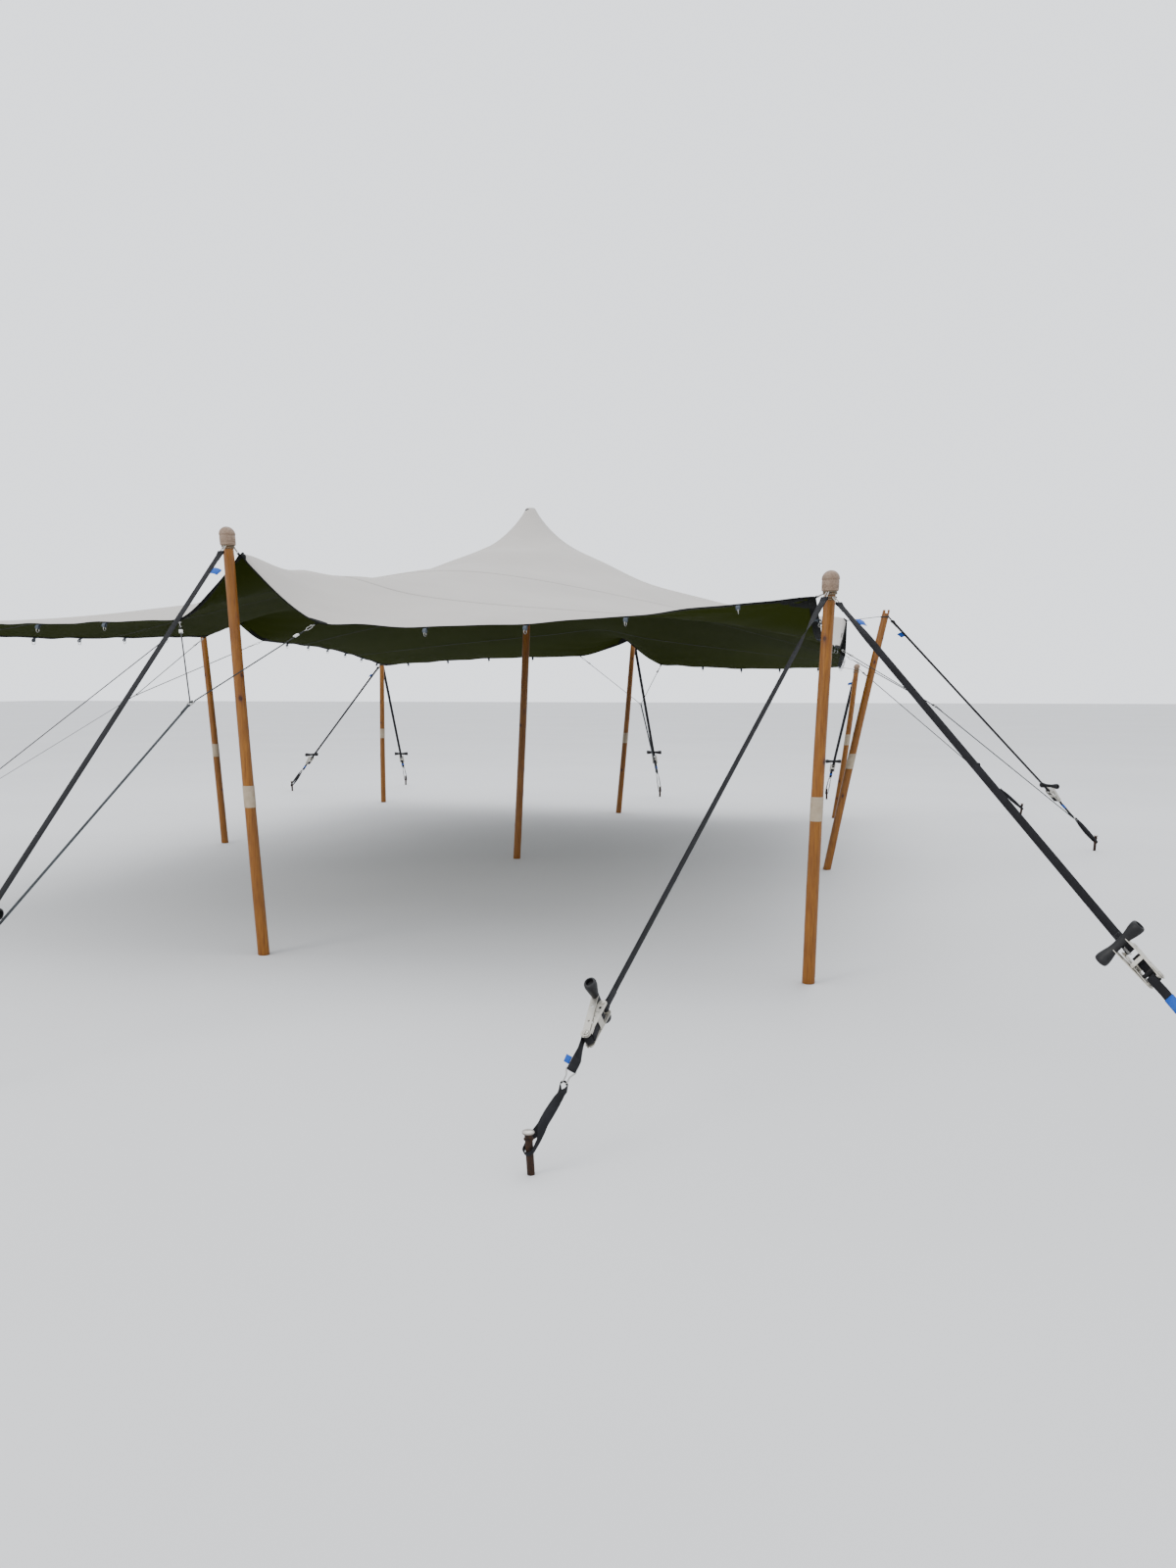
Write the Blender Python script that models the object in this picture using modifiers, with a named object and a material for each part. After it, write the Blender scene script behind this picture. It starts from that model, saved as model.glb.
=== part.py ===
"""Stretch tent: a tensioned fabric canopy of about 6 x 8 m on nine round wooden poles, held down by twelve
webbing guys with ratchets, four side bridles and steel ground stakes. Metres, +Z up, origin at the foot
of the centre pole, +X to the right and +Y to the back."""

import math
from collections import namedtuple

import bmesh
import bpy
import numpy as np
from mathutils import Matrix, Vector

# The whole tent: half the canopy's width and length, and the height of its peak
HALF_WIDTH = 2.90
HALF_LENGTH = 4.00
PEAK_HEIGHT = 3.12
LEFT = -HALF_WIDTH
RIGHT = HALF_WIDTH
FRONT = -HALF_LENGTH
BACK = HALF_LENGTH

# Clearance between pieces that touch, and between ropes and what they are tied to
SEAT_GAP = 0.0003
TIE_GAP = 0.0007

# How far a piece runs past the middle of the one that it is joined to
JOIN_BITE = 0.0013
WELD_DISTANCE = 0.00001
SHARP_ANGLE = math.radians(40)

# Poles
POLE_SIDES = 12
POLE_SPANS = 5
CENTRE_RADIUS = 0.033
EDGE_RADIUS_FOOT = 0.0345
EDGE_RADIUS_HEAD = 0.030

# Turned finial on an edge pole, and the round knob of the low corner pole
FINIAL_RADIUS = 0.0455
FINIAL_HEIGHT = 0.106
FINIAL_GROOVE = 0.002
FINIAL_WAIST_RADIUS = 0.044
FINIAL_FOOT_RADIUS = 0.039
DOME_STEPS = 4
KNOB_RADIUS = 0.036
KNOB_HEIGHT = 0.062
KNOB_NECK = 0.004
KNOB_STEPS = 6

# Notch in the bare top of the right middle pole
NOTCH_WIDTH = 0.018
NOTCH_DEPTH = 0.028

# Rounded cap of the centre pole, under the fabric
CAP_FLAT_RADIUS = 0.034
CAP_SHOULDER_RADIUS = 0.044
CAP_SHOULDER_DROP = 0.014
CAP_RADIUS = 0.052
CAP_RIM_TOP = 0.034
CAP_RIM_FOOT = 0.060
CAP_HEIGHT = 0.085

# Canopy fabric
CANOPY_THICKNESS = 0.006
PEAK = Vector((0.115, 0.10, PEAK_HEIGHT))
LOW_TIE_REACH = 0.45
CROWN_REACH = CAP_SHOULDER_RADIUS - 0.0014
TIE_STEPS = 4
TIE_GROWTH = 1.32
OUTER_STEPS_X = 7
OUTER_STEPS_Y = 8
OUTER_GROWTH = 1.25
EDGE_RISE_POWER = 1.25

# Cone of the peak, and how the net pulls along the ridges and swells between them
PEAK_ROUNDING = 0.030
PEAK_SLOPE = 1.62
PEAK_EASING = 1.58
RIDGE_WIDTH = 0.50
RIDGE_PULL_X = 4.0
RIDGE_PULL_Y = 14.0
NET_SWELL = 0.03

# How the ridges stand up behind the side poles and sag further in, and the hollow round the cone
RIDGE_LIFT = 0.055
RIDGE_LIFT_REACH = 0.90
RIDGE_SAG = 0.042
RIDGE_SAG_PLACE = 1.85
RIDGE_SAG_REACH = 0.45
CONE_SAG = 0.028
CONE_SAG_PLACE = 1.05
CONE_SAG_REACH = 0.40

# Guy: rope ring at the pole, webbing, ratchet, ring and sling
RING_TUBE = 0.005
RING_STEP = 0.026
RING_STEPS = 8
TIE_ROPE_RADIUS = 0.0048
TIE_KNOT_RADIUS = 0.0036
ROPE_SIDES = 6
WEB_WIDTH = 0.035
STRAP_TWIST = 0.25
WEB_THICKNESS = 0.004
RATCHET_LENGTH = 0.150
RATCHET_INNER = 0.046
RATCHET_PLATE = 0.003
RATCHET_HEIGHT = 0.034
SPINDLE_REACH = 0.0045
SPINDLE_SIDES = 8
BORE_SIDES = 12
SPINDLE_RADIUS = 0.010
BOLT_RADIUS = 0.006
BOLT_SIDES = 6
HANDLE_SIDE_GAP = 0.0025
HANDLE_PIN_GAP = 0.0006
HANDLE_LENGTH = 0.162
HANDLE_RISE = 0.040
HANDLE_PLATE_HEIGHT = 0.030
GRIP_SIDES = 6
GRIP_SPAN = 0.200
GRIP_TIP_RADIUS = 0.0160
GRIP_WING_RADIUS = 0.0200
GRIP_WING = 0.020
GRIP_WAIST_RADIUS = 0.0130
GRIP_WAIST = 0.050
HOOK_RING_RADIUS = 0.020
HOOK_RING_TUBE = 0.004
SLING_BAND = 0.006
SLING_HEIGHT = 0.016
SLING_SIDE_GAP = 0.003
SLING_LEVEL = 0.088
LOOP_END_FACES = 3
LOOP_END_FLAT = math.cos(math.pi / (2 * LOOP_END_FACES))

# Stake, from ground level up
STAKE_SIDES = 8
STAKE_RADIUS = 0.013
STAKE_HEIGHT = 0.150
STAKE_LEAN = math.radians(6)
STAKE_CROWN_RADIUS = 0.014
STAKE_HEAD_RADIUS = 0.020
STAKE_LIP_RADIUS = 0.019
STAKE_HEAD_HEIGHT = 0.014
STAKE_BEVEL = 0.0055
STAKE_LIP = 0.003

# Side bridle
BRIDLE_ROPE_RADIUS = 0.004
BRIDLE_KNOT_RADIUS = 0.0015
BRIDLE_RING_RADIUS = 0.016
BRIDLE_RING_TUBE = 0.004
BRIDLE_WEB_WIDTH = 0.018
BRIDLE_WEB_THICKNESS = 0.003
BRIDLE_LAP = 0.014

Pole = namedtuple("Pole", "foot head radii bow top")
Guy = namedtuple("Guy", "name pole stake level sling tail roll hinged")
Bridle = namedtuple("Bridle", "name guy edge hook")


def edge_pole(foot, head, bow, top):
    return Pole(foot, head, (EDGE_RADIUS_FOOT, EDGE_RADIUS_HEAD), (bow, 0.0), top)


# Each pole: foot on the ground, top of the whole pole with its finial, bow at mid height, kind of top
POLES = {
    "pole_centre": Pole((0.0, 0.0), tuple(PEAK), (CENTRE_RADIUS, CENTRE_RADIUS), (0.006, 0.004), "cap"),
    "pole_front_left": edge_pole(
        (LEFT - 0.23, FRONT + 0.015), (LEFT - 0.37, FRONT - 0.10, 2.15), 0.008, "finial"
    ),
    "pole_front_middle": edge_pole((-0.395, FRONT + 0.015), (-0.534, FRONT - 0.04, 2.44), -0.006, "finial"),
    "pole_front_right": edge_pole(
        (RIGHT - 0.194, FRONT + 0.015), (RIGHT - 0.11, FRONT - 0.04, 2.13), -0.008, "finial"
    ),
    "pole_right_middle": edge_pole((RIGHT - 0.16, -0.058), (RIGHT + 0.29, 0.04, 2.18), -0.008, "notch"),
    "pole_back_right": edge_pole(
        (RIGHT - 0.133, BACK - 0.05), (RIGHT + 0.096, BACK + 0.10, 1.81), 0.014, "knob"
    ),
    "pole_back_middle": edge_pole((0.176, BACK - 0.042), (0.348, BACK + 0.04, 2.22), 0.006, "finial"),
    "pole_back_left": edge_pole(
        (LEFT - 0.248, BACK + 0.605), (LEFT - 0.265, BACK + 0.66, 1.97), -0.006, "finial"
    ),
    "pole_left_middle": edge_pole((LEFT - 0.213, 0.406), (LEFT - 0.405, 0.38, 2.36), 0.006, "finial"),
}

# Each guy: its pole, the stake's place on the ground, how many rings sit above its own, the sling's and
# the lower webbing's lengths, how many degrees its ratchet has rolled over, and whether the ratchet's
# handle is a piece of its own
GUYS = [
    Guy("guy_front_left_forward", "pole_front_left", (LEFT - 1.00, FRONT - 2.60), 0, 0.37, 0.20, 0, False),
    Guy("guy_front_left_side", "pole_front_left", (LEFT - 3.10, FRONT - 0.90), 1, 0.37, 0.20, 0, False),
    Guy("guy_front_middle", "pole_front_middle", (-0.56, FRONT - 2.60), 0, 0.37, 0.24, 0, False),
    Guy("guy_front_right_forward", "pole_front_right", (RIGHT - 0.982, FRONT - 2.635), 0, 0.28, 0.17, 90, True),
    Guy("guy_front_right_side", "pole_front_right", (RIGHT + 1.38, FRONT - 2.26), 1, 0.37, 0.38, 70, False),
    Guy("guy_right_middle", "pole_right_middle", (RIGHT + 2.29, 1.65), 0, 0.37, 0.30, 0, True),
    Guy("guy_back_right_side", "pole_back_right", (RIGHT + 2.05, BACK + 0.71), 0, 0.37, 0.26, 0, True),
    Guy("guy_back_right_rear", "pole_back_right", (RIGHT - 0.26, BACK + 2.28), 1, 0.37, 0.20, 0, False),
    Guy("guy_back_middle", "pole_back_middle", (0.347, BACK + 2.155), 0, 0.37, 0.24, 0, False),
    Guy("guy_back_left_rear", "pole_back_left", (LEFT - 0.96, BACK + 3.27), 0, 0.37, 0.20, 0, False),
    Guy("guy_back_left_side", "pole_back_left", (LEFT - 2.22, BACK + 1.92), 1, 0.37, 0.20, 0, False),
    Guy("guy_left_middle", "pole_left_middle", (LEFT - 3.13, -0.32), 0, 0.37, 0.24, 0, False),
]

# Canopy edges, each half from its corner to the low tie beside the pole, then the point at the pole
CORNERS = {
    "front_left": (LEFT - 0.10, FRONT + 0.07, 2.00),
    "front_right": (RIGHT - 0.19, FRONT + 0.06, 2.00),
    "back_right": (RIGHT - 0.09, BACK - 0.14, 1.765),
    "back_left": (LEFT - 0.16, BACK + 0.52, 1.82),
}
EDGE_PEAKS = {
    "front": (-0.49, FRONT + 0.02, 2.28),
    "right": (RIGHT - 0.03, -0.02, 2.09),
    "back": (0.29, BACK - 0.08, 2.08),
    "left": (LEFT - 0.08, 0.445, 2.20),
}
LOW_TIES = {
    "front": ((-0.90, FRONT + 0.05, 1.93), (-0.02, FRONT, 1.90)),
    "right": ((RIGHT - 0.08, -0.47, 1.85), (RIGHT - 0.04, 0.43, 1.82)),
    "back": ((-0.31, BACK, 1.91), (0.71, BACK - 0.14, 1.80)),
    "left": ((LEFT - 0.10, -0.07, 2.01), (LEFT - 0.03, 0.92, 2.01)),
}
EDGE_MIDDLES = {
    "front": (
        ((-2.07, FRONT + 0.07, 1.92),),
        ((0.60, FRONT + 0.02, 1.87), (1.50, FRONT + 0.05, 1.90), (2.10, FRONT + 0.06, 1.955)),
    ),
    "right": (((RIGHT - 0.165, -3.35, 1.83), (RIGHT - 0.13, -1.90, 1.83)), ((RIGHT - 0.06, 2.10, 1.80),)),
    "back": (((-1.65, BACK + 0.20, 1.89),), ((1.75, BACK - 0.20, 1.75),)),
    "left": (((LEFT - 0.07, -2.70, 1.90),), ((LEFT - 0.08, 2.70, 1.97),)),
}

# Bridles: the guy whose stake they share, the canopy edge that they hold, and the hook where they join
BRIDLES = [
    Bridle("bridle_front", "guy_front_middle", "front", (-0.43, FRONT - 0.64, 1.46)),
    Bridle("bridle_right", "guy_right_middle", "right", (RIGHT + 0.72, 0.39, 1.38)),
    Bridle("bridle_back", "guy_back_middle", "back", (0.35, BACK + 0.54, 1.32)),
    Bridle("bridle_left", "guy_left_middle", "left", (LEFT - 1.03, 0.22, 1.46)),
]


def clear_scene():
    for obj in list(bpy.data.objects):
        bpy.data.objects.remove(obj, do_unlink=True)


def new_collection(name):
    collection = bpy.data.collections.new(name)
    bpy.context.scene.collection.children.link(collection)
    return collection


def new_material(name, colour, roughness, metallic=0.0):
    material = bpy.data.materials.new(name)
    material.use_nodes = True
    shader = material.node_tree.nodes["Principled BSDF"]
    shader.inputs["Base Color"].default_value = (*colour, 1.0)
    shader.inputs["Roughness"].default_value = roughness
    shader.inputs["Metallic"].default_value = metallic
    return material


def add_object(name, mesh, material):
    """A finished piece of the tent."""
    obj = bpy.data.objects.new(name, mesh)
    PARTS.objects.link(obj)
    mesh.materials.clear()
    mesh.materials.append(material)
    return obj


def add_tool(name, mesh):
    """A shape that is only joined to a piece or cut from it."""
    obj = bpy.data.objects.new(name, mesh)
    TOOLS.objects.link(obj)
    obj.hide_render = True
    obj.display_type = "WIRE"
    return obj


def mesh_of(bm, name):
    bmesh.ops.recalc_face_normals(bm, faces=bm.faces)
    mesh = bpy.data.meshes.new(name)
    bm.to_mesh(mesh)
    bm.free()
    return mesh


def evaluated_mesh(obj):
    """The mesh of an object with its modifiers applied and its seams welded; the object is removed."""
    bpy.context.view_layer.update()
    graph = bpy.context.evaluated_depsgraph_get()
    mesh = bpy.data.meshes.new_from_object(obj.evaluated_get(graph))
    bm = bmesh.new()
    bm.from_mesh(mesh)
    bmesh.ops.remove_doubles(bm, verts=bm.verts, dist=WELD_DISTANCE)
    bm.to_mesh(mesh)
    bm.free()
    bpy.data.objects.remove(obj, do_unlink=True)
    return mesh


def smooth_round(mesh):
    mesh.shade_smooth()
    mesh.set_sharp_from_angle(angle=SHARP_ANGLE)


def fused(name, meshes, material):
    """One solid from overlapping closed meshes."""
    base = add_tool(name + "_base", meshes[0])
    for number, mesh in enumerate(meshes[1:]):
        tool = add_tool(f"{name}_tool_{number}", mesh)
        join = base.modifiers.new(f"join_{number}", "BOOLEAN")
        join.operation = "UNION"
        join.solver = "EXACT"
        join.object = tool
    mesh = evaluated_mesh(base)
    for number in range(len(meshes) - 1):
        bpy.data.objects.remove(bpy.data.objects[f"{name}_tool_{number}"], do_unlink=True)
    return add_object(name, mesh, material)


def frame_matrix(origin, along, side):
    """A frame at origin with X along, Y to the side and Z square to both."""
    x = Vector(along).normalized()
    z = x.cross(Vector(side)).normalized()
    y = z.cross(x)
    matrix = Matrix((x, y, z)).transposed().to_4x4()
    matrix.translation = Vector(origin)
    return matrix


def box_mesh(low, high, matrix=None):
    bm = bmesh.new()
    bmesh.ops.create_cube(bm, size=1.0)
    low = Vector(low)
    high = Vector(high)
    bmesh.ops.scale(bm, vec=high - low, verts=bm.verts)
    bmesh.ops.translate(bm, vec=(low + high) / 2, verts=bm.verts)
    if matrix is not None:
        bmesh.ops.transform(bm, matrix=matrix, verts=bm.verts)
    return mesh_of(bm, "box")


def rod_mesh(start, end, radius, sides, radius_end=None):
    start = Vector(start)
    end = Vector(end)
    along = end - start
    bm = bmesh.new()
    bmesh.ops.create_cone(
        bm,
        cap_ends=True,
        segments=sides,
        radius1=radius,
        radius2=radius if radius_end is None else radius_end,
        depth=along.length,
    )
    turn = along.to_track_quat("Z", "Y").to_matrix().to_4x4()
    bmesh.ops.transform(bm, matrix=Matrix.Translation((start + end) / 2) @ turn, verts=bm.verts)
    return mesh_of(bm, "rod")


def ring_mesh(matrix, radius, tube, steps):
    """A torus in the XY plane of matrix: a small square on its corner, spun about Z."""
    bm = bmesh.new()
    bmesh.ops.create_circle(bm, segments=4, radius=tube)
    upright = Matrix.Translation((radius, 0.0, 0.0)) @ Matrix.Rotation(math.pi / 2, 4, "X")
    bmesh.ops.transform(bm, matrix=upright, verts=bm.verts)
    bmesh.ops.spin(
        bm,
        geom=bm.verts[:] + bm.edges[:],
        cent=(0.0, 0.0, 0.0),
        axis=(0.0, 0.0, 1.0),
        angle=2 * math.pi,
        steps=steps,
        use_duplicate=False,
    )
    bmesh.ops.remove_doubles(bm, verts=bm.verts, dist=WELD_DISTANCE)
    bmesh.ops.transform(bm, matrix=matrix, verts=bm.verts)
    return mesh_of(bm, "ring")


def turned_mesh(profile, steps):
    """A profile of (radius, height) points, top to bottom on its outer side, turned about Z."""
    mesh = bpy.data.meshes.new("profile")
    edges = [(i, i + 1) for i in range(len(profile) - 1)]
    mesh.from_pydata([(r, 0.0, z) for r, z in profile], edges, [])
    obj = add_tool("profile", mesh)
    screw = obj.modifiers.new("turn", "SCREW")
    screw.steps = steps
    screw.render_steps = steps
    screw.use_merge_vertices = True
    screw.merge_threshold = WELD_DISTANCE
    screw.use_smooth_shade = True
    return evaluated_mesh(obj)


def loop_mesh(matrix, start, end, inner_half_width, band, height):
    """A loop of webbing lying along X from start to end, in the XY plane of matrix."""
    curve = bpy.data.curves.new("loop", "CURVE")
    curve.dimensions = "2D"
    curve.fill_mode = "BOTH"
    curve.extrude = height / 2
    reach = (inner_half_width + band) * LOOP_END_FLAT
    for radius in (inner_half_width + band, inner_half_width):
        points = []
        for centre, turn in ((end - reach, -math.pi / 2), (start + reach, math.pi / 2)):
            for k in range(LOOP_END_FACES + 1):
                angle = turn + math.pi * k / LOOP_END_FACES
                points.append((centre + radius * math.cos(angle), radius * math.sin(angle)))
        spline = curve.splines.new("POLY")
        spline.points.add(len(points) - 1)
        spline.use_cyclic_u = True
        for point, (x, y) in zip(spline.points, points):
            point.co = (x, y, 0.0, 1.0)
    mesh = evaluated_mesh(add_tool("loop", curve))
    mesh.transform(matrix)
    return mesh


# Poles


def shaft_height(pole):
    """Top of the wooden shaft, below its finial, knob or cap."""
    below = {"finial": FINIAL_HEIGHT, "knob": KNOB_HEIGHT, "notch": 0.0}
    if pole.top == "cap":
        return pole.head[2] - CANOPY_THICKNESS / 2 - SEAT_GAP - CAP_HEIGHT
    return pole.head[2] - below[pole.top]


def pole_axis(pole, z):
    """The pole's centre at height z: a straight lean with a slight natural bow."""
    t = z / pole.head[2]
    x = pole.foot[0] + (pole.head[0] - pole.foot[0]) * t + pole.bow[0] * math.sin(math.pi * t)
    y = pole.foot[1] + (pole.head[1] - pole.foot[1]) * t + pole.bow[1] * math.sin(math.pi * t)
    return Vector((x, y, z))


def pole_radius(pole, z):
    return pole.radii[0] + (pole.radii[1] - pole.radii[0]) * z / pole.head[2]


def build_pole(name, pole):
    height = shaft_height(pole)
    bm = bmesh.new()
    bmesh.ops.create_cone(
        bm,
        cap_ends=True,
        segments=POLE_SIDES,
        radius1=pole.radii[0],
        radius2=pole_radius(pole, height),
        depth=height,
    )
    bmesh.ops.translate(bm, vec=(0.0, 0.0, height / 2), verts=bm.verts)
    for k in range(1, POLE_SPANS):
        bmesh.ops.bisect_plane(
            bm,
            geom=bm.verts[:] + bm.edges[:] + bm.faces[:],
            plane_co=(0.0, 0.0, height * k / POLE_SPANS),
            plane_no=(0.0, 0.0, 1.0),
        )
    for vert in bm.verts:
        axis = pole_axis(pole, vert.co.z)
        vert.co.x += axis.x
        vert.co.y += axis.y
    mesh = mesh_of(bm, name)
    smooth_round(mesh)
    obj = add_object(name, mesh, WOOD)
    if pole.top == "notch":
        cut_notch(obj, pole, height)


def cut_notch(obj, pole, height):
    """A saw-cut notch across the bare top of the pole."""
    centre = pole_axis(pole, height)
    reach = 2 * pole.radii[0]
    low = (centre.x - NOTCH_WIDTH / 2, centre.y - reach, height - NOTCH_DEPTH)
    high = (centre.x + NOTCH_WIDTH / 2, centre.y + reach, height + NOTCH_DEPTH)
    tool = add_tool(obj.name + "_notch", box_mesh(low, high))
    cut = obj.modifiers.new("notch", "BOOLEAN")
    cut.operation = "DIFFERENCE"
    cut.solver = "EXACT"
    cut.object = tool


def place_on_pole(mesh, pole):
    """Stands a turned piece on the shaft, leaning with it but with its underside level."""
    base = shaft_height(pole)
    centre = pole_axis(pole, base)
    lean = Matrix.Identity(4)
    lean[0][2] = (pole.head[0] - pole.foot[0]) / pole.head[2]
    lean[1][2] = (pole.head[1] - pole.foot[1]) / pole.head[2]
    mesh.transform(Matrix.Translation(centre + Vector((0.0, 0.0, SEAT_GAP))) @ lean)


def finial_profile(radius, height):
    """A half-round dome on a short cylinder, with a turned groove between them."""
    waist = height - radius
    dome = [
        (radius * math.sin(a), waist + (radius - SEAT_GAP) * math.cos(a))
        for a in (math.pi / 2 * k / DOME_STEPS for k in range(DOME_STEPS + 1))
    ]
    shoulder = [
        (radius - FINIAL_GROOVE, waist - FINIAL_GROOVE),
        (radius, waist - 2 * FINIAL_GROOVE),
        (FINIAL_WAIST_RADIUS, 3 * FINIAL_GROOVE),
        (FINIAL_FOOT_RADIUS, 0.0),
        (0.0, 0.0),
    ]
    return dome + shoulder


def knob_profile(radius, height):
    """A round knob on a narrow neck."""
    centre = height - radius
    lowest = math.acos((KNOB_NECK - centre) / radius)
    ball = [
        (radius * math.sin(a), centre + (radius - SEAT_GAP) * math.cos(a))
        for a in (lowest * k / KNOB_STEPS for k in range(KNOB_STEPS + 1))
    ]
    return ball + [(ball[-1][0], 0.0), (0.0, 0.0)]


def build_finials():
    for name, pole in POLES.items():
        if pole.top in ("finial", "knob"):
            if pole.top == "finial":
                profile = finial_profile(FINIAL_RADIUS, FINIAL_HEIGHT)
            else:
                profile = knob_profile(KNOB_RADIUS, KNOB_HEIGHT)
            mesh = turned_mesh(profile, POLE_SIDES)
            place_on_pole(mesh, pole)
            add_object(name.replace("pole", "finial"), mesh, TURNED_WOOD)


def build_cap():
    """The rounded cap that spreads the centre pole's load into the fabric."""
    top = CAP_HEIGHT - SEAT_GAP
    profile = [
        (0.0, top),
        (CAP_FLAT_RADIUS, top),
        (CAP_SHOULDER_RADIUS, top - CAP_SHOULDER_DROP),
        (CAP_RADIUS, top - CAP_RIM_TOP),
        (CAP_RADIUS, top - CAP_RIM_FOOT),
        (CENTRE_RADIUS, 0.0),
        (0.0, 0.0),
    ]
    pole = POLES["pole_centre"]
    mesh = turned_mesh(profile, POLE_SIDES)
    base = shaft_height(pole)
    mesh.transform(Matrix.Translation(pole_axis(pole, base) + Vector((0.0, 0.0, SEAT_GAP))))
    add_object("centre_cap", mesh, RUBBER)


# Canopy


def grid_stations(half_size, outer_steps):
    """Distances from the centre line, close together at the pole lines and wider towards the corners."""
    tie_rest = LOW_TIE_REACH - CROWN_REACH
    tie_steps = range(TIE_STEPS)
    inner = [0.0] + [CROWN_REACH + tie_rest * (k / (TIE_STEPS - 1)) ** TIE_GROWTH for k in tie_steps]
    rest = half_size - LOW_TIE_REACH
    outer = [LOW_TIE_REACH + rest * (k / outer_steps) ** OUTER_GROWTH for k in range(1, outer_steps + 1)]
    side = inner + outer
    return np.array([-d for d in reversed(side[1:])] + side)


def smooth_through(points, fractions):
    """Points on a Catmull-Rom curve through the given points, at fractions of its chord length."""
    points = [np.array(p) for p in points]
    lengths = np.cumsum([0.0] + [np.linalg.norm(b - a) for a, b in zip(points, points[1:])])
    ends = [2 * points[0] - points[1]] + points + [2 * points[-1] - points[-2]]
    result = []
    for fraction in fractions:
        target = fraction * lengths[-1]
        span = min(max(int(np.searchsorted(lengths, target, side="right")) - 1, 0), len(points) - 2)
        t = (target - lengths[span]) / (lengths[span + 1] - lengths[span])
        a, b, c, d = ends[span : span + 4]
        curve = 2 * b + (c - a) * t + (2 * a - 5 * b + 4 * c - d) * t**2 + (3 * b - a - 3 * c + d) * t**3
        result.append(0.5 * curve)
    return result


def edge_curve(first_corner, second_corner, side, stations):
    """One edge of the canopy: smooth from each corner to a low tie, then up to the point at the pole."""
    half = stations[-1]
    outer = [s for s in stations if s > LOW_TIE_REACH - SEAT_GAP]
    inner = [s for s in stations if 0 < s < LOW_TIE_REACH - SEAT_GAP]
    peak = np.array(EDGE_PEAKS[side])
    halves = []
    for corner, tie, middles, inward in (
        (first_corner, LOW_TIES[side][0], EDGE_MIDDLES[side][0], False),
        (second_corner, LOW_TIES[side][1], EDGE_MIDDLES[side][1], True),
    ):
        knots = [tie, *(middles if inward else reversed(middles)), corner]
        fractions = [(s - LOW_TIE_REACH) / (half - LOW_TIE_REACH) for s in outer]
        run = smooth_through(knots, fractions)
        tie = np.array(tie)
        rise = []
        for s in inner:
            t = 1 - s / LOW_TIE_REACH
            point = tie + (peak - tie) * t
            point[2] = tie[2] + (peak[2] - tie[2]) * t**EDGE_RISE_POWER
            rise.append(point)
        halves.append(rise + run)
    return np.array(list(reversed(halves[0])) + [peak] + halves[1])


def cone_height(radius):
    """Height of the doubled patch round the peak: flat on the pole's cap, then a cone that eases off."""
    if radius < CAP_RADIUS:
        return PEAK_HEIGHT
    out = radius - PEAK_ROUNDING
    return PEAK_HEIGHT - PEAK_SLOPE * out / (1 + PEAK_EASING * out)


def net_pulls(xs, ys, i, j):
    """Each neighbour of a point of the net with its pull, which is strongest along the ridges."""
    wide = (xs[i + 1] - xs[i - 1]) / 2
    deep = (ys[j + 1] - ys[j - 1]) / 2
    ridge_x = RIDGE_PULL_X * math.exp(-((ys[j] / RIDGE_WIDTH) ** 2)) * abs(xs[i]) / HALF_WIDTH
    ridge_y = RIDGE_PULL_Y * math.exp(-((xs[i] / RIDGE_WIDTH) ** 2)) * abs(ys[j]) / HALF_LENGTH
    pulls = (
        (i + 1, j, deep * (1 + ridge_x) / (xs[i + 1] - xs[i])),
        (i - 1, j, deep * (1 + ridge_x) / (xs[i] - xs[i - 1])),
        (i, j + 1, wide * (1 + ridge_y) / (ys[j + 1] - ys[j])),
        (i, j - 1, wide * (1 + ridge_y) / (ys[j] - ys[j - 1])),
    )
    return pulls, NET_SWELL * wide * deep


def ridge_rise(across, inward, sag):
    """How far the fabric stands above the net, across from a ridge and inward from the canopy's edge."""
    lift = RIDGE_LIFT * math.exp(-inward / RIDGE_LIFT_REACH)
    fall = sag * math.exp(-(((inward - RIDGE_SAG_PLACE) / RIDGE_SAG_REACH) ** 2))
    return (lift - fall) * math.exp(-((across / RIDGE_WIDTH) ** 2))


def cone_hollow(radius):
    return CONE_SAG * math.exp(-(((radius - CONE_SAG_PLACE) / CONE_SAG_REACH) ** 2))


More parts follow.
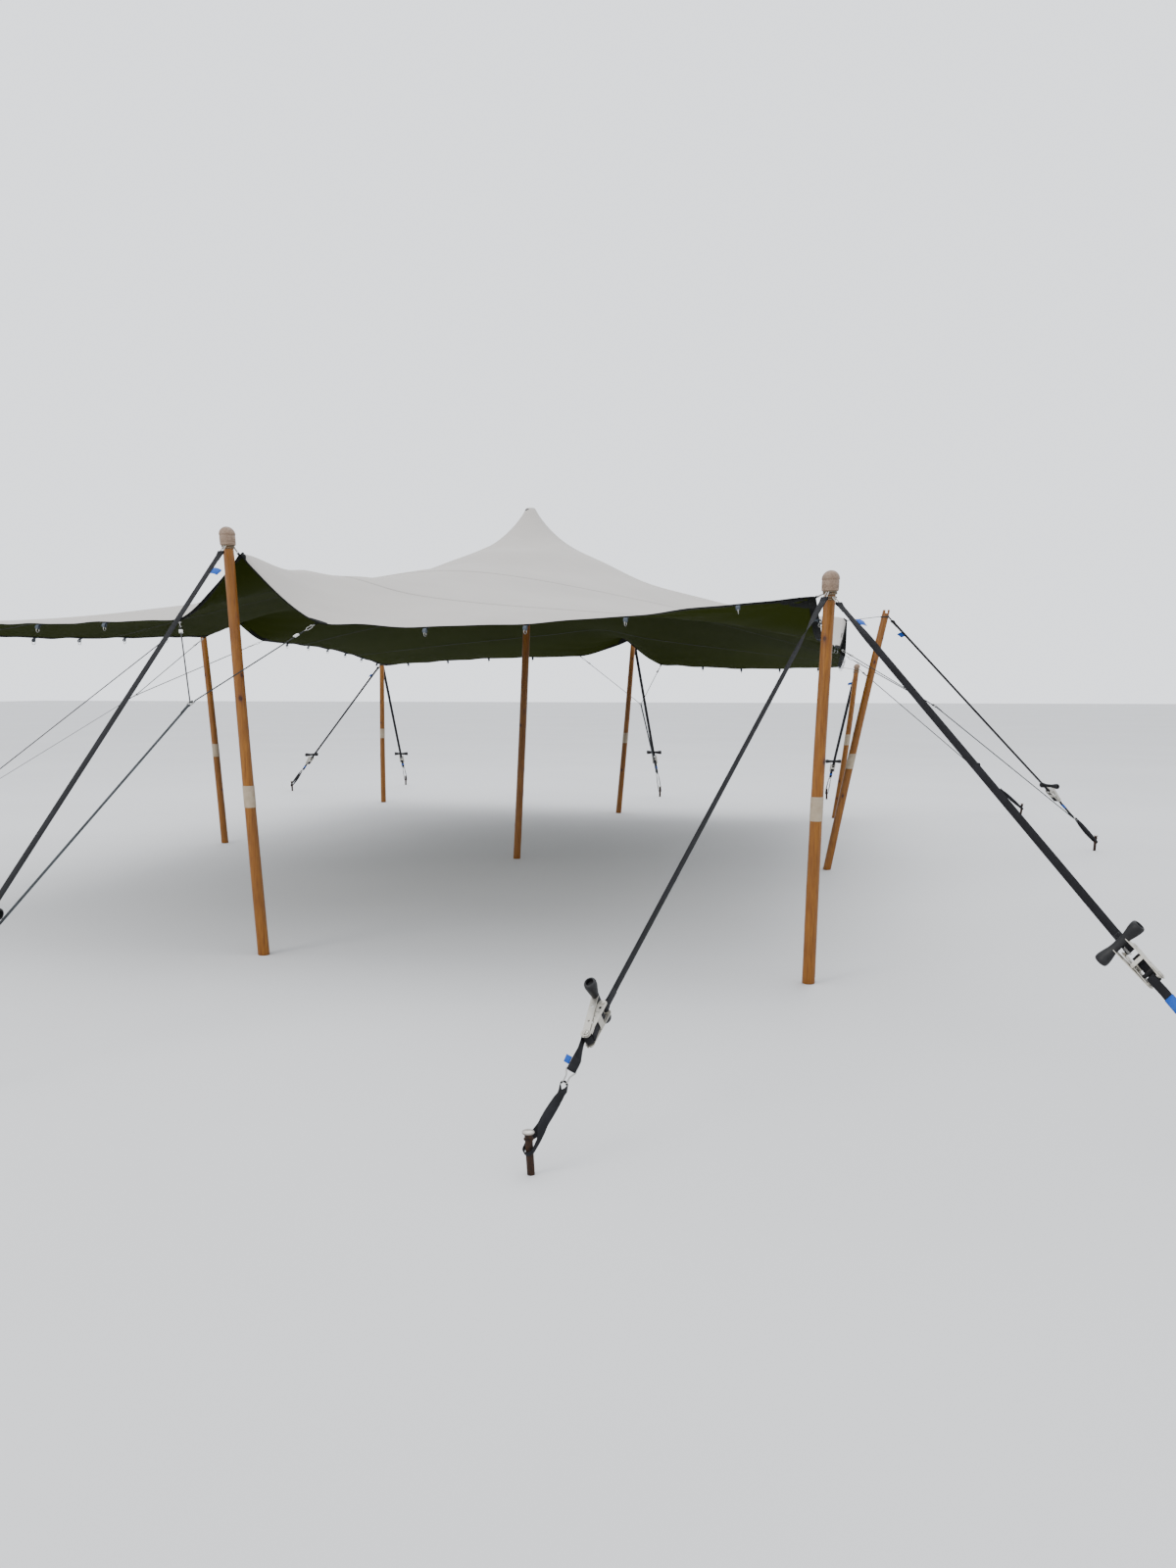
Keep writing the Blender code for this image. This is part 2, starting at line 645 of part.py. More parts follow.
def canopy_points():
    """The fabric's middle surface: a net in tension between its edges and the peak."""
    xs = grid_stations(HALF_WIDTH, OUTER_STEPS_X)
    ys = grid_stations(HALF_LENGTH, OUTER_STEPS_Y)
    nx, ny = len(xs), len(ys)
    grid = np.zeros((nx, ny, 3))
    grid[:, 0] = edge_curve(CORNERS["front_left"], CORNERS["front_right"], "front", xs)
    grid[:, -1] = edge_curve(CORNERS["back_left"], CORNERS["back_right"], "back", xs)
    grid[0, :] = edge_curve(CORNERS["front_left"], CORNERS["back_left"], "left", ys)
    grid[-1, :] = edge_curve(CORNERS["front_right"], CORNERS["back_right"], "right", ys)
    fixed = np.zeros((nx, ny), bool)
    fixed[0, :] = fixed[-1, :] = fixed[:, 0] = fixed[:, -1] = True
    for i, x in enumerate(xs):
        for j, y in enumerate(ys):
            radius = max(abs(x), abs(y))
            if radius < LOW_TIE_REACH + SEAT_GAP:
                fixed[i, j] = True
                out = radius / max(math.hypot(x, y), SEAT_GAP)
                grid[i, j] = (PEAK.x + x * out, PEAK.y + y * out, cone_height(radius))
    number = -np.ones((nx, ny), int)
    number[~fixed] = np.arange(int((~fixed).sum()))
    count = int((~fixed).sum())
    system = np.zeros((count, count))
    right = np.zeros((count, 3))
    for i in range(1, nx - 1):
        for j in range(1, ny - 1):
            row = number[i, j]
            if row < 0:
                continue
            pulls, right[row, 2] = net_pulls(xs, ys, i, j)
            for a, b, pull in pulls:
                system[row, row] += pull
                if number[a, b] >= 0:
                    system[row, number[a, b]] -= pull
                else:
                    right[row] += pull * grid[a, b]
    grid[~fixed] = np.linalg.solve(system, right)
    for i, x in enumerate(xs):
        for j, y in enumerate(ys):
            if not fixed[i, j]:
                grid[i, j, 2] += ridge_rise(x, HALF_LENGTH - abs(y), RIDGE_SAG)
                grid[i, j, 2] += ridge_rise(y, HALF_WIDTH - abs(x), 0.0) - cone_hollow(math.hypot(x, y))
    return grid


def build_canopy():
    """The fabric sheet, as an open net given its thickness."""
    points = canopy_points()
    nx, ny = points.shape[:2]
    bm = bmesh.new()
    bmesh.ops.create_grid(bm, x_segments=nx - 1, y_segments=ny - 1, size=1.0)
    for number, vert in enumerate(bm.verts):
        vert.co = points[number % nx, number // nx]
    mesh = mesh_of(bm, "canopy")
    if mesh.polygons[0].normal.z < 0:
        mesh.flip_normals()
    mesh.shade_smooth()
    obj = add_object("canopy", mesh, FABRIC)
    thicken = obj.modifiers.new("thickness", "SOLIDIFY")
    thicken.thickness = CANOPY_THICKNESS
    thicken.offset = 0.0
    thicken.use_even_offset = False
    return obj


def canopy_reach(canopy_vertices, point, towards):
    """How far the canopy's rim reaches past a point of its edge, in the direction of a rope tied there."""
    near = [v for v in canopy_vertices if (v - point).length < CANOPY_THICKNESS]
    return max((v - point).dot(towards) for v in near)


# Stakes


def stake_lean(guy):
    """Sideways lean of a guy's stake for each metre of height, away from the tent."""
    pole = POLES[guy.pole]
    away = Vector((guy.stake[0] - pole.head[0], guy.stake[1] - pole.head[1])).normalized()
    return away * math.tan(STAKE_LEAN)


def stake_axis(guy, z):
    lean = stake_lean(guy)
    return Vector((guy.stake[0] + lean.x * z, guy.stake[1] + lean.y * z, z))


def build_stake(guy):
    shank = STAKE_HEIGHT - STAKE_HEAD_HEIGHT
    profile = [
        (0.0, STAKE_HEIGHT),
        (STAKE_CROWN_RADIUS, STAKE_HEIGHT),
        (STAKE_HEAD_RADIUS, STAKE_HEIGHT - STAKE_BEVEL),
        (STAKE_LIP_RADIUS, shank + STAKE_LIP),
        (STAKE_RADIUS, shank),
        (STAKE_RADIUS, 0.0),
        (0.0, 0.0),
    ]
    mesh = turned_mesh(profile, STAKE_SIDES)
    lean = Matrix.Identity(4)
    away = stake_lean(guy)
    lean[0][2], lean[1][2] = away
    turn = Matrix.Rotation(math.atan2(away.y, away.x), 4, "Z")
    mesh.transform(Matrix.Translation((guy.stake[0], guy.stake[1], 0.0)) @ lean @ turn)
    add_object(guy.name.replace("guy", "stake"), mesh, STEEL)


# Guys


def guy_ring(guy):
    """Height and radius of the guy's rope ring, just under the top of its pole."""
    pole = POLES[guy.pole]
    from_top = NOTCH_DEPTH + RING_STEP if pole.top == "notch" else RING_TUBE + 2 * SEAT_GAP
    z = shaft_height(pole) - from_top - RING_STEP * guy.level
    return z, pole_radius(pole, z) + SEAT_GAP + RING_TUBE


def guy_frame(guy):
    """The guy's own frame, X down the webbing from the ring and Z up off it, and its length."""
    pole = POLES[guy.pole]
    z, radius = guy_ring(guy)
    axis = pole_axis(pole, z)
    end = stake_axis(guy, SLING_LEVEL)
    level = Vector((end.x - axis.x, end.y - axis.y, 0.0)).normalized()
    start = axis + level * radius
    along = end - start
    side = Vector((0.0, 0.0, 1.0)).cross(along)
    return frame_matrix(start, along, side), along.length


def stake_reach(guy):
    """How far past the stake's centre, along the guy, the stake reaches inside the sling's height."""
    matrix, _ = guy_frame(guy)
    along = matrix.col[0].to_3d()
    slope = -along.z / math.hypot(along.x, along.y)
    fall = math.atan(slope)
    lean = math.tan(STAKE_LEAN)
    reach = []
    for level in (-SLING_HEIGHT / 2, SLING_HEIGHT / 2):
        for rim in (-STAKE_RADIUS, STAKE_RADIUS):
            rise = (level - rim * math.sin(fall)) / (math.sin(fall) * lean + math.cos(fall))
            reach.append(rise * (math.cos(fall) * lean - math.sin(fall)) + rim * math.cos(fall))
    return max(reach)


def guy_stations(guy):
    """Places along the guy: top of the ratchet, its spindle, the hook ring, and the sling's far end."""
    _, length = guy_frame(guy)
    ring = length - guy.sling
    spindle = ring - guy.tail
    end = length + stake_reach(guy) + 2 * SEAT_GAP + SLING_BAND * LOOP_END_FLAT
    return spindle - RATCHET_LENGTH, spindle, ring, end


def ratchet_frame(guy):
    """The guy's frame as its ratchet hangs, rolled over round the webbing."""
    matrix, _ = guy_frame(guy)
    return matrix @ Matrix.Rotation(math.radians(guy.roll), 4, "X")


def handle_meshes(spindle, matrix):
    """The ratchet handle, shut: two side plates from the spindle up to a wide waisted grip."""
    inner = RATCHET_INNER / 2 + RATCHET_PLATE + HANDLE_SIDE_GAP
    slope = math.atan2(HANDLE_RISE, HANDLE_LENGTH)
    tilt = Matrix.Translation((spindle, 0.0, 0.0)) @ Matrix.Rotation(slope, 4, "Y")
    meshes = []
    grip_x = -math.hypot(HANDLE_LENGTH, HANDLE_RISE)
    half = HANDLE_PLATE_HEIGHT / 2
    for side in (-1, 1):
        low, high = sorted((side * inner, side * (inner + RATCHET_PLATE)))
        bite = 3 * JOIN_BITE
        meshes.append(box_mesh((grip_x - bite, low, -half), (half, high, half), matrix @ tilt))
    end = GRIP_SPAN / 2
    upper = [(0.0, end), (GRIP_TIP_RADIUS, end), (GRIP_WING_RADIUS, end - GRIP_WING)]
    upper.append((GRIP_WAIST_RADIUS, end - GRIP_WAIST))
    grip = turned_mesh(upper + [(r, -y) for r, y in reversed(upper)], GRIP_SIDES)
    across = Matrix.Translation((grip_x, 0.0, 0.0)) @ Matrix.Rotation(math.pi / 2, 4, "X")
    grip.transform(matrix @ tilt @ across)
    return [grip] + meshes


def build_handle(guy):
    """A handle that turns on the ratchet's spindle."""
    matrix = ratchet_frame(guy)
    _, spindle, _, _ = guy_stations(guy)
    name = guy.name.replace("guy", "ratchet_handle")
    obj = fused(name, handle_meshes(spindle, matrix), PLASTIC)
    radius = (SPINDLE_RADIUS + HANDLE_PIN_GAP) / math.cos(math.pi / BORE_SIDES)
    reach = RATCHET_INNER
    start = matrix @ Vector((spindle, -reach, 0.0))
    end = matrix @ Vector((spindle, reach, 0.0))
    bore = add_tool(name + "_bore", rod_mesh(start, end, radius, BORE_SIDES))
    cut = obj.modifiers.new("bore", "BOOLEAN")
    cut.operation = "DIFFERENCE"
    cut.solver = "EXACT"
    cut.object = bore
    pivot = matrix @ Vector((spindle, 0.0, 0.0))
    obj.data.transform(Matrix.Translation(-pivot))
    obj.location = pivot


def ratchet_meshes(guy, matrix, top, spindle):
    """Two side plates, the bolt that holds the webbing and the spindle that winds it."""
    meshes = []
    outer = RATCHET_INNER / 2 + RATCHET_PLATE
    for side in (-1, 1):
        low, high = sorted((side * RATCHET_INNER / 2, side * outer))
        low_corner = (top, low, -RATCHET_HEIGHT / 2)
        high_corner = (spindle + RATCHET_HEIGHT / 2, high, RATCHET_HEIGHT / 2)
        meshes.append(box_mesh(low_corner, high_corner, matrix))
    bolt_x = top + 2 * BOLT_RADIUS
    bolt_reach = outer - RATCHET_PLATE / 2
    spindle_reach = outer + HANDLE_SIDE_GAP + SPINDLE_REACH
    for x, radius, reach, sides in (
        (bolt_x, BOLT_RADIUS, bolt_reach, BOLT_SIDES),
        (spindle, SPINDLE_RADIUS, spindle_reach, SPINDLE_SIDES),
    ):
        start = matrix @ Vector((x, -reach, 0.0))
        end = matrix @ Vector((x, reach, 0.0))
        meshes.append(rod_mesh(start, end, radius, sides))
    if not guy.hinged:
        meshes += handle_meshes(spindle, matrix)
    return meshes


def strap_meshes(guy, top, spindle, ring_x):
    """The webbing above and below the ratchet, flat at the pole and rolled over with the ratchet."""
    matrix, _ = guy_frame(guy)
    rolled = ratchet_frame(guy)
    bolt = top + 2 * BOLT_RADIUS + JOIN_BITE
    stretches = [(rolled, spindle - 2 * JOIN_BITE, ring_x - HOOK_RING_RADIUS + JOIN_BITE)]
    if guy.roll:
        stretches += [(matrix, -JOIN_BITE, STRAP_TWIST), (rolled, STRAP_TWIST - JOIN_BITE, bolt)]
    else:
        stretches += [(matrix, -JOIN_BITE, bolt)]
    half = WEB_WIDTH / 2
    thin = WEB_THICKNESS / 2
    return [box_mesh((low, -half, -thin), (high, half, thin), frame) for frame, low, high in stretches]


def build_guy(guy, canopy_vertices):
    pole = POLES[guy.pole]
    matrix, _ = guy_frame(guy)
    z, radius = guy_ring(guy)
    axis = pole_axis(pole, z)
    top, spindle, ring_x, end = guy_stations(guy)
    meshes = [ring_mesh(Matrix.Translation(axis), radius, RING_TUBE, POLE_SIDES)]
    meshes += strap_meshes(guy, top, spindle, ring_x)
    meshes += ratchet_meshes(guy, ratchet_frame(guy), top, spindle)
    ring_frame = matrix @ Matrix.Translation((ring_x, 0.0, 0.0))
    meshes.append(ring_mesh(ring_frame, HOOK_RING_RADIUS, HOOK_RING_TUBE, RING_STEPS))
    sling_half = STAKE_RADIUS + SLING_SIDE_GAP
    sling_start = ring_x + HOOK_RING_RADIUS - SLING_BAND + JOIN_BITE
    meshes.append(loop_mesh(matrix, sling_start, end, sling_half, SLING_BAND, SLING_HEIGHT))
    if guy.level == 0:
        meshes.append(canopy_tie(guy, axis, radius, canopy_vertices))
    fused(guy.name, meshes, WEBBING)


def canopy_tie(guy, axis, radius, canopy_vertices):
    """The short rope from the pole's ring to the edge of the canopy."""
    place = guy.pole.replace("pole_", "")
    side = place.replace("_middle", "")
    point = Vector(EDGE_PEAKS[side] if place.endswith("_middle") else CORNERS[place])
    level = Vector((point.x - axis.x, point.y - axis.y, 0.0)).normalized()
    start = axis + level * (radius - JOIN_BITE)
    towards = (start - point).normalized()
    end = point + towards * (canopy_reach(canopy_vertices, point, towards) + TIE_GAP)
    return rod_mesh(start, end, TIE_ROPE_RADIUS, ROPE_SIDES, TIE_KNOT_RADIUS)


# Bridles


def build_bridle(bridle, canopy_vertices):
    """Two ropes from the low ties to a ring, and thin webbing from there to the guy's hook ring."""
    guy = next(g for g in GUYS if g.name == bridle.guy)
    matrix, _ = guy_frame(guy)
    _, _, ring_x, _ = guy_stations(guy)
    hook = Vector(bridle.hook)
    below = HOOK_RING_TUBE + BRIDLE_WEB_THICKNESS + TIE_GAP
    end = matrix @ Vector((ring_x - BRIDLE_LAP, 0.0, -below))
    down = end - hook
    side = Vector((0.0, 0.0, 1.0)).cross(down)
    hook_frame = frame_matrix(hook, down, side)
    meshes = [ring_mesh(hook_frame, BRIDLE_RING_RADIUS, BRIDLE_RING_TUBE, RING_STEPS)]
    low = (BRIDLE_RING_RADIUS - JOIN_BITE, -BRIDLE_WEB_WIDTH / 2, -BRIDLE_WEB_THICKNESS / 2)
    high = (down.length, BRIDLE_WEB_WIDTH / 2, BRIDLE_WEB_THICKNESS / 2)
    meshes.append(box_mesh(low, high, hook_frame))
    for tie in LOW_TIES[bridle.edge]:
        tie = Vector(tie)
        offset = (tie - hook).normalized() * (BRIDLE_RING_RADIUS - JOIN_BITE)
        start = hook + offset
        towards = (start - tie).normalized()
        stop = tie + towards * (canopy_reach(canopy_vertices, tie, towards) + TIE_GAP)
        meshes.append(rod_mesh(start, stop, BRIDLE_ROPE_RADIUS, ROPE_SIDES, BRIDLE_KNOT_RADIUS))
    fused(bridle.name, meshes, ROPE)


clear_scene()
PARTS = new_collection("stretch_tent")
TOOLS = new_collection("stretch_tent_tools")
WOOD = new_material("varnished_pole_wood", (0.42, 0.17, 0.06), 0.42)
TURNED_WOOD = new_material("pale_turned_wood", (0.60, 0.45, 0.30), 0.55)
FABRIC = new_material("stretch_fabric", (0.55, 0.53, 0.50), 0.85)
RUBBER = new_material("cap_rubber", (0.03, 0.03, 0.03), 0.70)
WEBBING = new_material("black_webbing", (0.03, 0.03, 0.035), 0.75)
ROPE = new_material("bridle_rope", (0.10, 0.11, 0.11), 0.75)
PLASTIC = new_material("handle_plastic", (0.02, 0.02, 0.02), 0.45)
STEEL = new_material("stake_steel", (0.25, 0.23, 0.21), 0.55, 0.9)

for pole_name, pole_shape in POLES.items():
    build_pole(pole_name, pole_shape)
build_finials()
build_cap()
canopy_object = build_canopy()
bpy.context.view_layer.update()
canopy_evaluated = canopy_object.evaluated_get(bpy.context.evaluated_depsgraph_get())
rim_points = [v.co.copy() for v in canopy_evaluated.data.vertices]
for one_guy in GUYS:
    build_guy(one_guy, rim_points)
    build_stake(one_guy)
    if one_guy.hinged:
        build_handle(one_guy)
for one_bridle in BRIDLES:
    build_bridle(one_bridle, rim_points)
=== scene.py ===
import math
import random
from collections import namedtuple
from contextlib import contextmanager

import bmesh
import bpy
import numpy as np
from mathutils import Matrix, Vector, noise


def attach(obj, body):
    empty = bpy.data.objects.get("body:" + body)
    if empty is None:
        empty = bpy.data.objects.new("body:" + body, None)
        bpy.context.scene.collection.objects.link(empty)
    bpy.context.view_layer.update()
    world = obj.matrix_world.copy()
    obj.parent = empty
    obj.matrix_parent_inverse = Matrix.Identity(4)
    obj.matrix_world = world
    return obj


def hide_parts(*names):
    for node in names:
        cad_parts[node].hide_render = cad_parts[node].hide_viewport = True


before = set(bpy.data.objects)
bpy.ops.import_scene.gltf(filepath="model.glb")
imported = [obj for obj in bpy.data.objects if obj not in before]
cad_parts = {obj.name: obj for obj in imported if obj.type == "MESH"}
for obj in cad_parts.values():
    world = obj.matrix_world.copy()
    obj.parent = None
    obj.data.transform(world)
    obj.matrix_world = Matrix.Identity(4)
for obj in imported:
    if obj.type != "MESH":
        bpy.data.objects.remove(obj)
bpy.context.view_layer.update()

TENT = "tent"
MERGE = 0.00001
SMOOTH_ANGLE = math.radians(35)
UP = Vector((0.0, 0.0, 1.0))

# Planes that arcs lie in, and the turn that lays a round shape down along Y
FLAT = ((1, 0, 0), (0, 1, 0))
UPRIGHT = ((1, 0, 0), (0, 0, 1))
LYING = (math.pi / 2, 0.0, 0.0)

# Bands of a pitch come from a wave texture whose scale is 1 over the pitch times this
WAVE_TURN = 3.1416

# Camera, as the photograph was taken
CAMERA_PLACE = (2.87, -10.15, 1.55)
CAMERA_TURN = (math.radians(85.244), 0.0, math.radians(12.30))
CAMERA_LENS = 27.05
CAMERA_SENSOR = 36.0
SKY_STRENGTH = 1.9
FLOOR_SIZE = 160.0
FLOOR_DROP = 0.0004

# Poles
POLE_SIDES = 32
POLE_RING_CORNERS = 12
POLE_CUTS_PER_METRE = 30
POLE_ROUGHNESS = 0.0008
POLE_END_BEVEL = 0.004
KNOT_SIZE = 0.020
KNOT_RISE = 0.0016
BAND_HEIGHT = 0.92
BAND_LENGTH = 0.125
BAND_THICKNESS = 0.0009

# Finials, knob and cap, as (radius, height) up the turned piece
FINIAL_HEIGHT = 0.106
FINIAL_RADIUS = 0.0455
KNOB_HEIGHT = 0.062
KNOB_RADIUS = 0.036
SEAT_GAP = 0.0003
CAP_PROFILE = (
    (0.0, 0.0), (0.0325, 0.0), (0.0480, 0.0195), (0.0505, 0.0235), (0.0515, 0.0300), (0.0502, 0.0345),
    (0.0515, 0.0390), (0.0515, 0.0500), (0.0503, 0.0590), (0.0475, 0.0655), (0.0435, 0.0740),
    (0.0390, 0.0790), (0.0330, 0.0840), (0.0220, 0.0860), (0.0, 0.0865),
)
TURNED_STEPS = 40

# Guys, as in the solids
NOTCH_WIDTH = 0.018
NOTCH_DEPTH = 0.028
RING_TUBE = 0.005
RING_STEP = 0.026
HANGER_LENGTH = 0.058
POLE_ROPE_RADIUS = 0.0033
BRIDLE_ROPE_RADIUS = 0.0038
TWIST_START = 0.16
TWIST_LENGTH = 0.34
ROLL_RADIUS = 0.0166
WEB_WIDTH = 0.035
WEB_THICKNESS = 0.0024
RATCHET_LENGTH = 0.150
RATCHET_INNER = 0.046
RATCHET_PLATE = 0.003
RATCHET_HEIGHT = 0.034
SPINDLE_RADIUS = 0.0095
BOLT_RADIUS = 0.006
HANDLE_SIDE_GAP = 0.0025
WHEEL_TEETH = 13
TOOTH_HEIGHT = 0.0036
SPRING_TURNS = 9
SPRING_RADIUS = 0.0042
HANDLE_LENGTH = 0.162
HANDLE_RISE = 0.040
HANDLE_PLATE_HEIGHT = 0.026
GRIP_SPAN = 0.198
SLING_LEVEL = 0.088
SLING_THICKNESS = 0.0034
LAP = WEB_THICKNESS + 0.0002
HOOK_APPROACH = 0.05
STAKE_HEIGHT = 0.150

# Canopy
CAD_FABRIC_THICKNESS = 0.006
FABRIC_THICKNESS = 0.002
FABRIC_CELL = 0.041
PEAK_CELL = 0.010
PEAK_REACH = 0.10
PATCH_REACH = 0.45
PEAK_ROUNDING = 0.030
PEAK_SLOPE = 1.62
PEAK_EASING = 1.58
CAP_DRAPE = ((0.0, 0.0), (0.022, 0.0002), (0.034, 0.0018), (0.044, 0.0118), (0.053, 0.0310),
             (0.062, 0.0475), (0.078, 0.0723), (0.094, 0.0942))
RIDGE_RISE = 0.050
RIDGE_DEPTH = 0.15
RIDGE_WIDTH = 0.18
CONE_FULLNESS = 0.034
CONE_RING = (0.70, 0.30)
FOLD_FADE = (0.25, 0.55)
FLUTTER = 0.0035
FLUTTER_REACH = 0.16
PUCKER_HEIGHT = 0.011
PUCKER_WIDTH = 0.042
PATCH_CORE = 0.30

# Puckers behind the front rim: place across, distance in from the rim, half length and slant
PUCKERS = (
    (1.22, 0.20, 0.16, -0.10), (1.62, 0.16, 0.22, 0.06), (1.98, 0.24, 0.26, 0.10), (2.30, 0.15, 0.18, 0.04),
)
FRONT_TABS = (0.935, 1.40, 1.86, 2.40)
SEAM_PLACES = (-3.20, -1.70, 1.30, 2.80)
SEAM_WIDTH = 0.022
HEM_WIDTH = 0.042
TAB_SPACING = 0.55
TAB_FOLD = Vector((-0.001, 0.0, -0.0046))
TIE_EYE = 0.018
TIE_RING_RADIUS = 0.0095
BRIDLE_RING_RADIUS = 0.016
BRIDLE_STRAP_WIDTH = 0.018

Guy = namedtuple("Guy", "name pole level sling tail roll hinged roll_on", defaults=[None])
Bridle = namedtuple("Bridle", "name guy edge hook")

# Each guy: its pole, how many rings sit above its own, its sling's and lower webbing's lengths, how many
# degrees its ratchet has rolled over, whether its handle is on a hinge, and the roll at its hook if other
GUYS = [
    Guy("guy_front_left_forward", "pole_front_left", 0, 0.37, 0.20, 0, False),
    Guy("guy_front_left_side", "pole_front_left", 1, 0.37, 0.20, 0, False),
    Guy("guy_front_middle", "pole_front_middle", 0, 0.37, 0.24, 0, False),
    Guy("guy_front_right_forward", "pole_front_right", 0, 0.28, 0.17, 90, True, 146),
    Guy("guy_front_right_side", "pole_front_right", 1, 0.37, 0.38, 70, False),
    Guy("guy_right_middle", "pole_right_middle", 0, 0.37, 0.30, 0, True),
    Guy("guy_back_right_side", "pole_back_right", 0, 0.37, 0.26, 0, True),
    Guy("guy_back_right_rear", "pole_back_right", 1, 0.37, 0.20, 0, False),
    Guy("guy_back_middle", "pole_back_middle", 0, 0.37, 0.24, 0, False),
    Guy("guy_back_left_rear", "pole_back_left", 0, 0.37, 0.20, 0, False),
    Guy("guy_back_left_side", "pole_back_left", 1, 0.37, 0.20, 0, False),
    Guy("guy_left_middle", "pole_left_middle", 0, 0.37, 0.24, 0, False),
]
BRIDLES = [
    Bridle("bridle_front", "guy_front_middle", "front", (-0.43, -4.64, 1.46)),
    Bridle("bridle_right", "guy_right_middle", "right", (3.62, 0.39, 1.38)),
    Bridle("bridle_back", "guy_back_middle", "back", (0.35, 4.54, 1.32)),
    Bridle("bridle_left", "guy_left_middle", "left", (-3.93, 0.22, 1.46)),
]
POLE_TOPS = {"pole_centre": "cap", "pole_right_middle": "notch", "pole_back_right": "knob"}
WHITE_ROPED = ("pole_front_left", "pole_front_middle", "pole_front_right", "pole_back_right")


# Tools for modelling


def deselect_all():
    for obj in bpy.context.selected_objects:
        obj.select_set(False)


def work_on(obj):
    deselect_all()
    obj.select_set(True)
    bpy.context.view_layer.objects.active = obj


def start(kind, name, **settings):
    """A new primitive, with its place in its mesh."""
    deselect_all()
    getattr(bpy.ops.mesh, f"primitive_{kind}_add")(**settings)
    obj = bpy.context.object
    obj.name = name
    obj.data.name = name
    bpy.ops.object.transform_apply(location=True, rotation=True, scale=True)
    return obj


@contextmanager
def editing(obj):
    """Edit mode on an object, for as long as the block lasts."""
    work_on(obj)
    bpy.ops.object.mode_set(mode="EDIT")
    yield
    bpy.ops.object.mode_set(mode="OBJECT")


def block(name, size, centre=(0.0, 0.0, 0.0)):
    """A box of a size, the start of a shape."""
    return start("cube", name, size=1.0, location=centre, scale=size)


def select(obj, kind, test):
    """In edit mode, selects the faces, edges or corners that pass the test."""
    bpy.ops.mesh.select_mode(type=kind)
    bpy.ops.mesh.select_all(action="DESELECT")
    bm = bmesh.from_edit_mesh(obj.data)
    for part in {"FACE": bm.faces, "EDGE": bm.edges, "VERT": bm.verts}[kind]:
        if test(part):
            part.select_set(True)
    bm.select_flush_mode()
    bmesh.update_edit_mesh(obj.data)


def edge_along(part):
    return (part.verts[1].co - part.verts[0].co).normalized()


def extrude(step):
    bpy.ops.mesh.extrude_region_move(TRANSFORM_OT_translate={"value": tuple(step)})


def modify(obj, kind, **settings):
    """Adds a modifier and applies it."""
    work_on(obj)
    modifier = obj.modifiers.new(kind.lower(), kind)
    for key, value in settings.items():
        setattr(modifier, key, value)
    bpy.ops.object.modifier_apply(modifier=modifier.name)


def discard(*objects):
    for obj in objects:
        bpy.data.objects.remove(obj, do_unlink=True)


def cut_with(obj, tool):
    """Cuts a tool out of a piece and removes it."""
    modify(obj, "BOOLEAN", operation="DIFFERENCE", solver="EXACT", object=tool)
    discard(tool)


def paint(obj, material):
    obj.data.materials.clear()
    obj.data.materials.append(material)
    return obj


def surfaced(obj, material, angle=SMOOTH_ANGLE):
    """Merges doubles, turns the faces outwards, smooths what is round and paints the shape."""
    with editing(obj):
        bpy.ops.mesh.select_all(action="SELECT")
        bpy.ops.mesh.remove_doubles(threshold=MERGE)
        bpy.ops.mesh.normals_make_consistent(inside=False)
    work_on(obj)
    bpy.ops.object.shade_smooth_by_angle(angle=angle)
    return paint(obj, material)


def joined(name, parts):
    """Several shapes made into one piece, each keeping its material."""
    deselect_all()
    for part in parts:
        part.select_set(True)
    bpy.context.view_layer.objects.active = parts[0]
    if len(parts) > 1:
        bpy.ops.object.join()
    obj = bpy.context.view_layer.objects.active
    obj.name = name
    obj.data.name = name
    return obj


def stamp(pattern, matrix, name):
    """A copy of a pattern piece, with its own mesh, at a place."""
    obj = pattern.copy()
    obj.data = pattern.data.copy()
    obj.data.transform(matrix)
    obj.name = name
    obj.data.name = name
    bpy.context.scene.collection.objects.link(obj)
    return obj


def finished(obj, slot, *nodes, body=TENT):
    """A finished piece: rides on its body and stands for its nodes. The slot is not used."""
    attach(obj, body)
    if nodes:
        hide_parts(*nodes)
    return obj


def new_object(name, mesh):
    obj = bpy.data.objects.new(name, mesh)
    bpy.context.scene.collection.objects.link(obj)
    return obj


def frame_matrix(origin, along, side):
    """A frame at origin with X along, Y to the side and Z square to both."""
    x = Vector(along).normalized()
    z = x.cross(Vector(side)).normalized()
    y = z.cross(x)
    matrix = Matrix((x, y, z)).transposed().to_4x4()
    matrix.translation = Vector(origin)
    return matrix


# Cloth and rope, swept along a path with a UV map in metres along and round them


